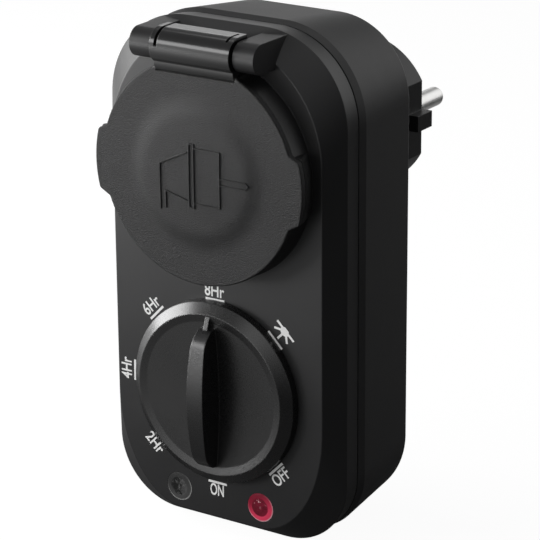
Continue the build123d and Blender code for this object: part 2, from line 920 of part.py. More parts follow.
with BuildPart() as shutter_spring:
    with BuildLine() as coil:
        Helix(
            pitch=shutter_spring_wire * 1.1,
            height=shutter_spring_wire * 1.1 * shutter_spring_turns,
            radius=shutter_spring_radius,
            center=(0, at(carrier_front_depth + shutter_spring_wire / 2), socket_axis_z),
            direction=back,
        )
    with BuildSketch(Plane(origin=coil.line @ 0, z_dir=coil.line % 0)):
        Circle(shutter_spring_wire / 2)
    sweep()
shutter_spring.part.label = "shutter_spring"

# ================================================================ contact carrier
with BuildPart() as contact_carrier:
    with BuildSketch(facing(carrier_front_depth)):
        with Locations((0, socket_axis_z)):
            Circle(carrier_radius)
        with Locations((-pin_x, socket_axis_z), (pin_x, socket_axis_z)):
            Circle(contact_outer_radius, mode=Mode.SUBTRACT)
        with Locations(*carrier_post_places):
            Circle(carrier_screw_radius + thread_clearance, mode=Mode.SUBTRACT)
    extrude(amount=carrier_thickness, dir=back)
    with BuildSketch(facing(carrier_front_depth)):
        with Locations((0, socket_axis_z)):
            Circle(shutter_spring_recess_radius)
    extrude(amount=shutter_spring_recess, dir=back, mode=Mode.SUBTRACT)
contact_carrier.part.label = "contact_carrier"

with BuildPart() as carrier_screws:
    with BuildSketch(facing(carrier_back_depth)):
        with Locations(*carrier_post_places):
            Circle(carrier_screw_head_radius)
    extrude(amount=carrier_screw_head_height, dir=back)
    with BuildSketch(facing(carrier_back_depth)):
        with Locations(*carrier_post_places):
            Circle(carrier_screw_radius)
    extrude(amount=carrier_screw_length, dir=forward)
    with BuildSketch(facing(carrier_back_depth + carrier_screw_head_height)):
        with Locations(*carrier_post_places):
            Rectangle(2 * carrier_screw_head_radius, carrier_screw_head_radius / 4)
    extrude(amount=carrier_screw_head_height / 2, dir=forward, mode=Mode.SUBTRACT)
carrier_screws.part.label = "carrier_screws"


# ================================================================ line and neutral contacts
def socket_contact(side):
    """A slit tulip tube in the carrier, with a flange behind it and a tail to the board."""
    tail_z = socket_axis_z - contact_outer_radius
    tail_depth = carrier_back_depth + contact_length - contact_tail_thickness
    with BuildPart() as contact:
        with BuildSketch(facing(carrier_front_depth)):
            with Locations((side * pin_x, socket_axis_z)):
                Circle(contact_outer_radius)
        extrude(amount=carrier_thickness + contact_length, dir=back)
        with BuildSketch(facing(carrier_back_depth)):
            with Locations((side * pin_x, socket_axis_z)):
                Circle(contact_flange_radius)
        extrude(amount=contact_flange_thickness, dir=back)
        # Tail: down behind the carrier, then forward to the board.
        with BuildSketch(Plane.YZ.offset(side * contact_tail_x - contact_tail_width / 2)):
            with BuildLine():
                Polyline(
                    (at(tail_depth), socket_axis_z),
                    (at(tail_depth), contact_bar_board_z - contact_tail_thickness),
                    (at(board_back_depth), contact_bar_board_z - contact_tail_thickness),
                    (at(board_back_depth), contact_bar_board_z),
                    (at(tail_depth - contact_tail_thickness), contact_bar_board_z),
                    (at(tail_depth - contact_tail_thickness), socket_axis_z),
                    close=True,
                )
            make_face()
        extrude(amount=contact_tail_width)
        with BuildSketch(facing(carrier_front_depth)):
            with Locations((side * pin_x, socket_axis_z)):
                Circle(contact_inner_radius)
        extrude(amount=carrier_thickness + contact_length, dir=back, mode=Mode.SUBTRACT)
        with BuildSketch(facing(carrier_back_depth + contact_flange_thickness)):
            with Locations((side * (pin_x + contact_outer_radius), socket_axis_z)):
                Rectangle(2 * contact_inner_radius, contact_slit_width)
        extrude(amount=contact_length, dir=back, mode=Mode.SUBTRACT)
    return contact.part


live_contact = socket_contact(1)
live_contact.label = "live_contact"
neutral_contact = socket_contact(-1)
neutral_contact.label = "neutral_contact"

# ================================================================ earth strap of the socket
# One strip: a sprung clip above and below the recess, and a crossbar behind the contacts.
clip_bend_depth = cup_floor_depth - 1.5
clip_bulge_depth = 8.0
clip_bulge_length = 2.5
clip_lead_depth = 2.5
with BuildPart() as socket_earth_strap:
    for side in (-1, 1):
        with BuildSketch(Plane.YZ.offset(-earth_clip_half_width)):
            with BuildLine():
                Polyline(
                    (at(earth_crossbar_depth), socket_axis_z + side * earth_clip_radius),
                    (at(clip_bend_depth), socket_axis_z + side * earth_clip_radius),
                    (at(clip_bulge_depth), socket_axis_z + side * earth_clip_bulge),
                    (at(clip_bulge_depth - clip_bulge_length), socket_axis_z + side * earth_clip_bulge),
                    (at(clip_lead_depth), socket_axis_z + side * earth_clip_radius),
                )
            trace(line_width=earth_strip)
        extrude(amount=2 * earth_clip_half_width)
    with Locations((0, at(earth_crossbar_depth), socket_axis_z)):
        Box(2 * earth_clip_half_width, earth_strip, 2 * earth_clip_radius + earth_strip)
socket_earth_strap.part.label = "socket_earth_strap"

# ================================================================ plug body
with BuildPart() as plug_body:
    extrude(
        flatted_disc(plug_flange_front_depth, 0, plug_radius, plug_flat_x),
        amount=front_y * -1 - plug_flange_front_depth,
        dir=back,
    )
    fillet(
        plug_body.faces().sort_by(Axis.Y)[-1].edges(),
        plug_edge_round,
    )
    with BuildSketch(facing(plug_flange_front_depth)):
        Circle(plug_flange_radius)
    extrude(amount=plug_flange_thickness, dir=back)
    # Guide rib on each flat, its end flush with the plug's end face.
    with Locations((0, -guide_rib_length / 2, 0)):
        Box(2 * guide_rib_x, guide_rib_length, guide_rib_height)
    # Cavity, open towards the case.
    with BuildSketch(facing(plug_flange_front_depth)):
        Circle(plug_cavity_radius)
    extrude(
        amount=-front_y - plug_flange_front_depth - plug_end_wall,
        dir=back,
        mode=Mode.SUBTRACT,
    )
    # Pin holes through the end wall, each in a shallow ring.
    with BuildSketch(Plane.XZ):
        with Locations((-pin_x, 0), (pin_x, 0)):
            Circle(plug_pin_neck_radius)
    extrude(amount=plug_end_wall, mode=Mode.SUBTRACT)
    with BuildSketch(Plane.XZ):
        with Locations((-pin_x, 0), (pin_x, 0)):
            Circle(plug_pin_ring_radius)
    extrude(amount=plug_pin_ring_depth, mode=Mode.SUBTRACT)
    # Recesses for the earth clips, and the slots where they turn inwards.
    for side in (-1, 1):
        with Locations((0, 0, side * plug_clip_floor_z)):
            Box(
                2 * plug_clip_recess_half_width,
                2 * (plug_clip_length + plug_clip_setback),
                2 * (plug_radius - plug_clip_floor_z),
                align=(Align.CENTER, Align.CENTER, Align.MIN if side > 0 else Align.MAX),
                mode=Mode.SUBTRACT,
            )
        with Locations((0, -plug_clip_length - plug_clip_setback, side * plug_cavity_radius)):
            Box(
                2 * (earth_clip_half_width + earth_slot_clearance),
                2 * plug_clip_strip,
                2 * (plug_clip_floor_z + plug_clip_strip - plug_cavity_radius),
                mode=Mode.SUBTRACT,
            )
plug_body.part.label = "plug_body"


# ================================================================ plug pins
def plug_pin(side):
    """A round pin, necked in the end wall, with a collar inside it and a tail for its bar."""
    with BuildPart() as pin:
        with BuildSketch(Plane.XZ):
            with Locations((side * pin_x, 0)):
                Circle(plug_pin_radius)
        extrude(amount=-plug_pin_length)
        fillet(pin.faces().sort_by(Axis.Y)[-1].edges(), plug_pin_tip_round)
        with BuildSketch(Plane.XZ.offset(plug_end_wall)):
            with Locations((side * pin_x, 0)):
                Circle(plug_pin_neck_radius)
        extrude(amount=-plug_end_wall)
        with BuildSketch(Plane.XZ.offset(plug_end_wall)):
            with Locations((side * pin_x, 0)):
                Circle(plug_pin_collar_radius)
        extrude(amount=plug_pin_collar_length)
        with BuildSketch(Plane.XZ.offset(plug_end_wall + plug_pin_collar_length)):
            with Locations((side * pin_x, 0)):
                Circle(plug_pin_tail_radius)
        extrude(amount=plug_pin_tail_length)
    return pin.part


live_pin = plug_pin(1)
live_pin.label = "live_pin"
neutral_pin = plug_pin(-1)
neutral_pin.label = "neutral_pin"


# ================================================================ bars from the pins to the board
def mains_bar(side):
    """A folded strip from a pin's tail, through the case, to the back of the board."""
    tail_y = -plug_end_wall - plug_pin_collar_length - plug_pin_tail_length
    strip = mains_bar_thickness
    with BuildPart() as bar:
        with BuildSketch(Plane.YZ.offset(side * mains_bar_x - mains_bar_width / 2)):
            with BuildLine():
                Polyline(
                    (tail_y, plug_pin_tail_radius),
                    (tail_y, mains_bar_drop_z - strip),
                    (at(mains_bar_drop_depth) + strip, mains_bar_drop_z - strip),
                    (at(mains_bar_drop_depth) + strip, mains_bar_board_z - strip),
                    (at(board_back_depth), mains_bar_board_z - strip),
                    (at(board_back_depth), mains_bar_board_z),
                    (at(mains_bar_drop_depth), mains_bar_board_z),
                    (at(mains_bar_drop_depth), mains_bar_drop_z),
                    (tail_y - strip, mains_bar_drop_z),
                    (tail_y - strip, plug_pin_tail_radius),
                    close=True,
                )
            make_face()
        extrude(amount=mains_bar_width)
    return bar.part


live_bar = mains_bar(1)
live_bar.label = "live_bar"
neutral_bar = mains_bar(-1)
neutral_bar.label = "neutral_bar"

# ================================================================ earth strap of the plug
plug_crossbar_y = -plug_clip_length - plug_clip_setback
with BuildPart() as plug_earth_strap:
    with BuildSketch(Plane.YZ.offset(-earth_clip_half_width)):
        for side in (-1, 1):
            with Locations((-plug_clip_setback, side * plug_clip_floor_z)):
                Rectangle(
                    plug_clip_length,
                    plug_clip_strip,
                    align=(Align.MAX, Align.MIN if side > 0 else Align.MAX),
                )
        with Locations((plug_crossbar_y, 0)):
            Rectangle(
                plug_clip_strip,
                2 * (plug_clip_floor_z + plug_clip_strip),
                align=(Align.MAX, Align.CENTER),
            )
    extrude(amount=2 * earth_clip_half_width)
plug_earth_strap.part.label = "plug_earth_strap"

# ================================================================ link between the earth straps
link_start_y = at(earth_crossbar_depth) + earth_strip / 2
link_end_y = plug_crossbar_y - plug_clip_strip
with BuildPart() as earth_link:
    with BuildSketch(Plane.YZ.offset(-earth_link_width / 2)):
        with Locations((link_start_y, earth_link_z)):
            Rectangle(
                link_end_y - link_start_y,
                plug_clip_strip,
                align=(Align.MIN, Align.MIN),
            )
            Rectangle(plug_clip_strip, 4 * plug_clip_strip, align=(Align.MIN, Align.MIN))
        with Locations((link_end_y, earth_link_z)):
            Rectangle(plug_clip_strip, 4 * plug_clip_strip, align=(Align.MAX, Align.MIN))
    extrude(amount=earth_link_width)
earth_link.part.label = "earth_link"

# ================================================================ knob
dish_radius = knob_rim_radius - knob_rim_band
dish_edge_depth = knob_rim_depth + knob_band_drop
dish_rise = dish_edge_depth - knob_dish_depth
grip_z = knob_axis_z - grip_middle_drop
round_depth = (grip_corner_depth + grip_end_depth) / 2 - grip_corner_bulge
round_z = (grip_corner_z + grip_end_z) / 2 + grip_corner_bulge

# The grip: a long crowned front with round corners, cut to a slim lens in plan.
with BuildPart() as grip:
    with BuildSketch(Plane.YZ):
        with BuildLine():
            ThreePointArc(
                (at(grip_corner_depth), grip_z - grip_corner_z),
                (at(grip_front_depth), grip_z),
                (at(grip_corner_depth), grip_z + grip_corner_z),
            )
            for side in (-1, 1):
                ThreePointArc(
                    (at(grip_corner_depth), grip_z + side * grip_corner_z),
                    (at(round_depth), grip_z + side * round_z),
                    (at(grip_end_depth), grip_z + side * grip_end_z),
                )
                Line(
                    (at(grip_end_depth), grip_z + side * grip_end_z),
                    (at(-knob_gap), grip_z + side * grip_end_z),
                )
            Line(
                (at(-knob_gap), grip_z - grip_end_z),
                (at(-knob_gap), grip_z + grip_end_z),
            )
        make_face()
    extrude(amount=2 * grip_half_width, both=True)
    with BuildSketch(facing(2 * grip_front_depth)):
        with BuildLine():
            for side in (-1, 1):
                ThreePointArc(
                    (side * grip_end_half_width, grip_z - grip_end_z),
                    (side * grip_half_width, grip_z),
                    (side * grip_end_half_width, grip_z + grip_end_z),
                )
                Line(
                    (-grip_end_half_width, grip_z + side * grip_end_z),
                    (grip_end_half_width, grip_z + side * grip_end_z),
                )
        make_face()
    extrude(amount=-2 * grip_front_depth, dir=back, mode=Mode.INTERSECT)

with BuildPart() as knob:
    # Upright wall, tapered skirt, flat rim band and shallow dish.
    with BuildSketch(Plane.YZ):
        with BuildLine():
            Polyline(
                (at(knob_dish_depth), knob_axis_z),
                (at(-knob_gap), knob_axis_z),
                (at(-knob_gap), knob_axis_z + knob_base_radius),
                (at(-knob_gap - knob_lip_height), knob_axis_z + knob_lip_radius),
                (at(knob_rim_depth), knob_axis_z + knob_rim_radius),
                (at(dish_edge_depth), knob_axis_z + dish_radius),
            )
            ThreePointArc(
                (at(dish_edge_depth), knob_axis_z + dish_radius),
                (at(knob_dish_depth + dish_rise / 4), knob_axis_z + dish_radius / 2),
                (at(knob_dish_depth), knob_axis_z),
            )
        make_face()
    revolve(axis=Axis((0, 0, knob_axis_z), back))
    add(grip.part)
    # Pointer rib from the grip's upper end down to the skirt.
    with BuildSketch(Plane.YZ.offset(-pointer_half_width)):
        with BuildLine():
            Polyline(
                (at(pointer_start_depth), grip_z + grip_corner_z),
                (at(pointer_start_depth), grip_z + grip_end_z - grip_end_margin),
                (at(knob_rim_depth + pointer_sink), knob_axis_z + pointer_end_z),
                (at(-knob_gap), knob_axis_z + pointer_end_z),
                (at(-knob_gap), grip_z + grip_corner_z),
                close=True,
            )
        make_face()
    extrude(amount=2 * pointer_half_width)
    # Stem with the shaft's bore, and the hollows behind the grip.
    with BuildSketch(facing(-knob_gap)):
        with Locations((0, knob_axis_z)):
            Circle(knob_stem_radius)
    extrude(amount=knob_stem_end_depth + knob_gap, dir=back)
    with BuildSketch(facing(knob_stem_end_depth)):
        with Locations((0, knob_axis_z)):
            Circle(shaft_radius + shaft_fit)
            Rectangle(
                2 * (shaft_flat + shaft_fit),
                4 * shaft_radius,
                mode=Mode.INTERSECT,
            )
    extrude(amount=knob_stem_end_depth - shaft_front_depth, dir=forward, mode=Mode.SUBTRACT)
    with BuildSketch(facing(-knob_gap)):
        for side in (-1, 1):
            with Locations((0, knob_axis_z + side * grip_core_end_z)):
                Rectangle(
                    2 * grip_core_half_width,
                    grip_core_end_z - knob_stem_radius - wall / 2,
                    align=(Align.CENTER, Align.MAX if side > 0 else Align.MIN),
                )
    extrude(amount=-grip_core_depth - knob_gap, dir=forward, mode=Mode.SUBTRACT)
knob.part.label = "knob"

# ================================================================ ring round the knob's stem
with BuildPart() as knob_seal:
    with BuildSketch(facing(0)):
        with Locations((0, knob_axis_z)):
            Circle(knob_seal_radius)
            Circle(knob_stem_radius + knob_seal_fit, mode=Mode.SUBTRACT)
    extrude(amount=knob_seal_thickness, dir=back)
knob_seal.part.label = "knob_seal"

# ================================================================ rotary selector
selector_cavity_depth = selector_front_depth + selector_wall
selector_base_depth = board_depth - selector_base_thickness
rotor_front_depth = selector_cavity_depth + rotor_front_gap
rotor_back_depth = rotor_front_depth + rotor_thickness
leaf_offset = rotor_radius + detent_bump_radius + detent_gap

with BuildPart() as switch_body:
    with BuildSketch(facing(selector_front_depth)):
        with Locations((0, knob_axis_z)):
            RectangleRounded(
                2 * selector_half_width,
                2 * selector_half_width,
                selector_wall,
            )
    extrude(amount=selector_base_depth - selector_front_depth, dir=back)
    with BuildSketch(facing(selector_cavity_depth)):
        with Locations((0, knob_axis_z)):
            Circle(selector_cavity_radius)
    extrude(amount=selector_base_depth - selector_cavity_depth, dir=back, mode=Mode.SUBTRACT)
    with BuildSketch(facing(selector_front_depth)):
        with Locations((0, knob_axis_z)):
            Circle(shaft_radius + shaft_running_fit)
    extrude(amount=selector_wall, dir=back, mode=Mode.SUBTRACT)
    # Slots that hold the ends of the detent leaf.
    with BuildSketch(facing(rotor_front_depth)):
        with Locations((0, knob_axis_z + leaf_offset)):
            Rectangle(
                2 * detent_half_length,
                detent_strip,
                align=(Align.CENTER, Align.MIN),
            )
    extrude(amount=selector_base_depth - rotor_front_depth, dir=back, mode=Mode.SUBTRACT)
switch_body.part.label = "switch_body"

with BuildPart() as switch_base:
    with BuildSketch(facing(selector_base_depth)):
        with Locations((0, knob_axis_z)):
            RectangleRounded(
                2 * selector_half_width,
                2 * selector_half_width,
                selector_wall,
            )
    extrude(amount=selector_base_thickness, dir=back)
switch_base.part.label = "switch_base"

with BuildPart() as switch_shaft:
    with BuildSketch(facing(selector_front_depth)):
        with Locations((0, knob_axis_z)):
            Circle(shaft_radius)
    extrude(
        amount=rotor_back_depth + wiper_thickness - selector_front_depth,
        dir=back,
    )
    with BuildSketch(facing(shaft_front_depth)):
        with Locations((0, knob_axis_z)):
            Circle(shaft_radius)
            Rectangle(2 * shaft_flat, 4 * shaft_radius, mode=Mode.INTERSECT)
    extrude(amount=selector_front_depth - shaft_front_depth, dir=back)
switch_shaft.part.label = "switch_shaft"

with BuildPart() as switch_rotor:
    with BuildSketch(facing(rotor_front_depth)):
        with Locations((0, knob_axis_z)):
            Circle(rotor_radius)
            with PolarLocations(rotor_radius, rotor_notches, start_angle=90):
                Circle(rotor_notch_radius, mode=Mode.SUBTRACT)
            Circle(shaft_radius, mode=Mode.SUBTRACT)
    extrude(amount=rotor_thickness, dir=back)
switch_rotor.part.label = "switch_rotor"

with BuildPart() as switch_wiper:
    with BuildSketch(facing(rotor_back_depth)):
        with Locations((0, knob_axis_z)):
            SlotOverall(2 * wiper_radius, 2 * wiper_width, rotation=90)
            Circle(shaft_radius + wiper_width)
            Circle(shaft_radius, mode=Mode.SUBTRACT)
    extrude(amount=wiper_thickness, dir=back)
    with BuildSketch(facing(rotor_back_depth + wiper_thickness)):
        for side in (-1, 1):
            with Locations((0, knob_axis_z + side * (wiper_radius - wiper_width))):
                Circle(wiper_width / 2)
    extrude(
        amount=selector_base_depth - rotor_back_depth - wiper_thickness - wiper_gap,
        dir=back,
    )
switch_wiper.part.label = "switch_wiper"

with BuildPart() as detent_leaf:
    with BuildSketch(facing(rotor_front_depth)):
        with Locations((0, knob_axis_z + leaf_offset)):
            Rectangle(
                2 * detent_half_length,
                detent_strip,
                align=(Align.CENTER, Align.MIN),
            )
            Circle(detent_bump_radius)
        with Locations((0, knob_axis_z + leaf_offset + detent_strip)):
            Rectangle(
                2 * detent_half_length,
                2 * detent_bump_radius,
                align=(Align.CENTER, Align.MIN),
                mode=Mode.SUBTRACT,
            )
    extrude(amount=rotor_thickness, dir=back)
detent_leaf.part.label = "detent_leaf"

# ================================================================ circuit board
with BuildPart() as circuit_board:
    with BuildSketch(facing(board_depth)) as board_outline:
        with Locations((0, (board_top + board_bottom) / 2)):
            Rectangle(2 * board_half_width, board_top - board_bottom)
        fillet(board_outline.vertices().group_by(Axis.Y)[0], board_corner)
        with Locations((-lower_screw_x, lower_screw_z), (lower_screw_x, lower_screw_z)):
            Circle(tube_radius + board_boss_clearance, mode=Mode.SUBTRACT)
        with Locations(*board_post_places):
            Circle(board_screw_radius + thread_clearance, mode=Mode.SUBTRACT)
        for side in (-1, 1):
            with Locations((side * window_x, window_z)):
                with GridLocations(led_lead_spacing, 1, 2, 1):
                    Circle(led_lead_radius, mode=Mode.SUBTRACT)
    extrude(amount=board_thickness, dir=back)
circuit_board.part.label = "circuit_board"

with BuildPart() as board_screws:
    with BuildSketch(facing(board_back_depth)):
        with Locations(*board_post_places):
            Circle(board_screw_head_radius)
    extrude(amount=board_screw_head_height, dir=back)
    with BuildSketch(facing(board_back_depth)):
        with Locations(*board_post_places):
            Circle(board_screw_radius)
    extrude(amount=board_screw_length, dir=forward)
    with BuildSketch(facing(board_back_depth + board_screw_head_height)):
        with Locations(*board_post_places):
            Rectangle(2 * board_screw_head_radius, board_screw_head_radius / 4)
    extrude(amount=board_screw_head_height / 2, dir=forward, mode=Mode.SUBTRACT)
board_screws.part.label = "board_screws"


# ================================================================ windows
def window(side):
    """A round window with a faintly domed front and a flange behind the wall."""
    with BuildPart() as lens:
        with BuildSketch(Plane.YZ.offset(side * window_x)):
            with BuildLine():
                ThreePointArc(
                    (at(0), window_z - window_radius),
                    (at(-window_bulge), window_z),
                    (at(0), window_z + window_radius),
                )
                Line((at(0), window_z + window_radius), (at(0), window_z - window_radius))
            make_face()
            with Locations((at(0), window_z)):
                Rectangle(
                    window_stem_end_depth,
                    2 * window_radius,
                    align=(Align.MIN, Align.CENTER),
                )
            with Locations((at(wall), window_z)):
                Rectangle(
                    window_flange_thickness,
                    2 * window_flange_radius,
                    align=(Align.MIN, Align.CENTER),
                )
            with Locations((at(0), window_z)):
                Rectangle(
                    4 * window_radius,
                    2 * window_flange_radius,
                    align=(Align.CENTER, Align.MIN),
                    mode=Mode.INTERSECT,
                )
        revolve(axis=Axis((side * window_x, 0, window_z), back))
    return lens.part


sensor_window = window(-1)
sensor_window.label = "sensor_window"
indicator_window = window(1)
indicator_window.label = "indicator_window"

# ================================================================ lamp and light sensor
lamp_tip_depth = window_stem_end_depth + led_dome_gap
with BuildPart() as indicator_led:
    with BuildSketch(facing(lamp_tip_depth + led_radius)):
        with Locations((window_x, window_z)):
            Circle(led_radius)
    extrude(amount=board_depth - lamp_tip_depth - led_radius, dir=back)
    with Locations((window_x, at(lamp_tip_depth + led_radius), window_z)):
        Sphere(led_radius)
    with BuildSketch(facing(board_depth)):
        with Locations((window_x, window_z)):
            Circle(led_base_radius)
    extrude(amount=led_base_height, dir=forward)
    with BuildSketch(facing(board_depth)):
        with Locations((window_x, window_z)):
            with GridLocations(led_lead_spacing, 1, 2, 1):
                Circle(led_lead_radius)
    extrude(amount=board_thickness + led_base_height, dir=back)
indicator_led.part.label = "indicator_led"

sensor_front_depth = window_stem_end_depth + sensor_gap
with BuildPart() as light_sensor:
    with BuildSketch(facing(sensor_front_depth)):
        with Locations((-window_x, window_z)):
            Circle(sensor_radius)
    extrude(amount=sensor_thickness, dir=back)
    with BuildSketch(facing(sensor_front_depth + sensor_thickness)):
        with Locations((-window_x, window_z)):
            with GridLocations(led_lead_spacing, 1, 2, 1):
                Circle(led_lead_radius)
    extrude(
        amount=board_back_depth + led_base_height - sensor_front_depth - sensor_thickness,
        dir=back,
    )
light_sensor.part.label = "light_sensor"

# ================================================================ parts on the board's back
with BuildPart() as relay:
    with BuildSketch(facing(board_back_depth)):
        with Locations((relay_x, relay_z)):
            Rectangle(relay_width, relay_height)
    extrude(amount=relay_depth, dir=back)
    fillet(relay.edges().filter_by(Axis.Y), component_round)
relay.part.label = "relay"

with BuildPart() as film_capacitor:
    with BuildSketch(facing(board_back_depth)):
        with Locations((film_capacitor_x, film_capacitor_z)):
            Rectangle(film_capacitor_width, film_capacitor_height)
    extrude(amount=film_capacitor_depth, dir=back)
    fillet(film_capacitor.edges().filter_by(Axis.Y), component_round)
film_capacitor.part.label = "film_capacitor"

with BuildPart() as electrolytic_capacitor:
    with BuildSketch(facing(board_back_depth)):
        with Locations((electrolytic_x, electrolytic_z)):
            Circle(electrolytic_radius)
    extrude(amount=electrolytic_length, dir=back)
    fillet(electrolytic_capacitor.faces().sort_by(Axis.Y)[-1].edges(), component_round)
electrolytic_capacitor.part.label = "electrolytic_capacitor"

with BuildPart() as varistor:
    with BuildSketch(Plane.YZ.offset(varistor_x - varistor_thickness / 2)):
        with Locations((at(board_back_depth) + varistor_radius, varistor_z)):
            Circle(varistor_radius)
    extrude(amount=varistor_thickness)
varistor.part.label = "varistor"

with BuildPart() as fuse:
    with BuildSketch(Plane.YZ.offset(fuse_x - fuse_length / 2)):
        with Locations((at(board_back_depth) + fuse_cap_radius, fuse_z)):
            Circle(fuse_radius)
    extrude(amount=fuse_length)
    for side in (-1, 1):
        with BuildSketch(Plane.YZ.offset(fuse_x + side * fuse_length / 2)):
            with Locations((at(board_back_depth) + fuse_cap_radius, fuse_z)):
                Circle(fuse_cap_radius)
        extrude(amount=-side * fuse_cap_length)
fuse.part.label = "fuse"

with BuildPart() as microcontroller:
    with BuildSketch(facing(board_back_depth)):
        with Locations((chip_x, chip_z)):
            Rectangle(chip_width, chip_height)
    extrude(amount=chip_thickness, dir=back)
    with BuildSketch(facing(board_back_depth)):
        with Locations((chip_x, chip_z)):
            with GridLocations(chip_lead_pitch, 1, chip_leads_per_side, 1):
                Rectangle(chip_lead_width, chip_height + 2 * chip_lead_reach)
    extrude(amount=chip_lead_width, dir=back)
microcontroller.part.label = "microcontroller"

with BuildPart() as crystal:
    with BuildSketch(Plane.YZ.offset(crystal_x - crystal_length / 2)):
        with Locations((at(board_back_depth) + crystal_radius, crystal_z)):
            Circle(crystal_radius)
    extrude(amount=crystal_length)
crystal.part.label = "crystal"

# ================================================================ files
pieces = (
    front_housing.part,
    rear_housing.part,
    housing_seal.part,
    housing_screws.part,
    socket_lid.part,
    lid_gasket.part,
    hinge_pin.part,
    lid_spring.part,
    socket_insert.part,
    shutter.part,
    shutter_spring.part,
    contact_carrier.part,
    carrier_screws.part,
    live_contact,
    neutral_contact,
    socket_earth_strap.part,
    plug_body.part,
    live_pin,
    neutral_pin,
    live_bar,
    neutral_bar,
    plug_earth_strap.part,
    earth_link.part,
    knob.part,
    knob_seal.part,
    switch_body.part,
    switch_base.part,
    switch_shaft.part,
    switch_rotor.part,
    switch_wiper.part,
    detent_leaf.part,
    circuit_board.part,
    board_screws.part,
    sensor_window,
    indicator_window,
    indicator_led.part,
    light_sensor.part,
    relay.part,
    film_capacitor.part,
    electrolytic_capacitor.part,
    varistor.part,
    fuse.part,
    microcontroller.part,
    crystal.part,
)
os.makedirs("parts", exist_ok=True)
for piece in pieces:
    export_step(piece, f"parts/{piece.label}.step")
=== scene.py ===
"""Plug-in timer switch: black moulded case, lidded socket, programme knob and wall plug."""

from math import asin, cos, pi, radians, sin

import bmesh
import bpy
from mathutils import Matrix, Vector
from mathutils.bvhtree import BVHTree


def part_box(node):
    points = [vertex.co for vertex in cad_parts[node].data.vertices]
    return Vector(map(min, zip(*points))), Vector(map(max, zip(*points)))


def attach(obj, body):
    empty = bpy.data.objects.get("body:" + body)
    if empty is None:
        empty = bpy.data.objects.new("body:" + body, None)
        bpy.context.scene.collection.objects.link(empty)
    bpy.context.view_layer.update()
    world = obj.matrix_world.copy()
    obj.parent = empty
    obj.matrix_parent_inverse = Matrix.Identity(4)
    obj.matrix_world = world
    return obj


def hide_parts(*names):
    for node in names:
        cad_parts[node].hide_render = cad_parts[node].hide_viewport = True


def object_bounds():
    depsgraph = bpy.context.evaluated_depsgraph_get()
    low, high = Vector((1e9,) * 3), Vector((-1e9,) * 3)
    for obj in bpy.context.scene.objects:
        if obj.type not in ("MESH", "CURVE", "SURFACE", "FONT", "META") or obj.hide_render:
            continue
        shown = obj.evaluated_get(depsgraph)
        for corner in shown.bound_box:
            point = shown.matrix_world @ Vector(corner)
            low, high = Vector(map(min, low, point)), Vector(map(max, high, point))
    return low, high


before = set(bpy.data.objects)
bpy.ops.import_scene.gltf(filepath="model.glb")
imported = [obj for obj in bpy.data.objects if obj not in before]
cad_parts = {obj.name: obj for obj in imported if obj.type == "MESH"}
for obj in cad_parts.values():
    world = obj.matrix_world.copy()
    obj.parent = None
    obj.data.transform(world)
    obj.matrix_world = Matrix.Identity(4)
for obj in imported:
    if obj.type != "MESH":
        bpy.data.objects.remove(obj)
cad_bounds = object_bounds()

# ---------------------------------------------------------------- studio
# A white sheet runs under and behind the switch. Soft lamps stand at the left, in front, above
# and behind, and a wide one at the right lightens that side without showing in gloss.
mm = 0.001
camera_azimuth = radians(33.6)
camera_elevation = radians(19.2)
camera_roll = radians(-0.44)
camera_distance = 588.6 * mm
camera_lens = 174.68
camera_aim = Vector((14.68, -64.3, -20.51)) * mm
camera_back = Vector(
    (
        sin(camera_azimuth) * cos(camera_elevation),
        -cos(camera_azimuth) * cos(camera_elevation),
        sin(camera_elevation),
    )
)
level_right = Vector((cos(camera_azimuth), sin(camera_azimuth), 0))
level_up = camera_back.cross(level_right)
camera_right = level_right * cos(camera_roll) + level_up * sin(camera_roll)
camera_up = level_up * cos(camera_roll) - level_right * sin(camera_roll)
camera_data = bpy.data.cameras.new("camera")
camera_data.lens = camera_lens
camera_data.sensor_width = 36
camera_data.clip_start = 10 * mm
camera = bpy.data.objects.new("camera", camera_data)
turned = Matrix((camera_right, camera_up, camera_back)).transposed().to_4x4()
camera.matrix_world = Matrix.Translation(camera_aim + camera_back * camera_distance) @ turned
bpy.context.scene.collection.objects.link(camera)
bpy.context.scene.camera = camera
bpy.context.scene.view_settings.view_transform = "Standard"


def lamp(name, place, aim, width, height, watts):
    """A rectangular soft lamp, aimed at a point, all in millimetres."""
    data = bpy.data.lights.new(name, "AREA")
    data.shape = "RECTANGLE"
    data.size = width * mm
    data.size_y = height * mm
    data.energy = watts
    light = bpy.data.objects.new(name, data)
    way = Vector(aim) - Vector(place)
    light.matrix_world = (
        Matrix.Translation(Vector(place) * mm) @ way.to_track_quat("-Z", "Y").to_matrix().to_4x4()
    )
    bpy.context.scene.collection.objects.link(light)
    return light


middle = (0, -55, -28)
lamp("key", (-744, -213, 200), middle, 420, 420, 4.2)
lamp("left_front", (-320, -290, -30), middle, 170, 80, 0.68)
lamp("front_box", (-470, -745, 350), middle, 300, 260, 1.1)
lamp("front_strip", (-60, -880, 95), middle, 300, 120, 0.45)
right_fill = lamp("right_fill", (430, -820, 240), middle, 600, 500, 1.4)
right_fill.visible_glossy = False
lamp("top", (-160, 160, 600), middle, 420, 260, 0.3)
lamp("back_strip", (-268, 325, 205), (-5, -71, 35), 200, 60, 0.05)


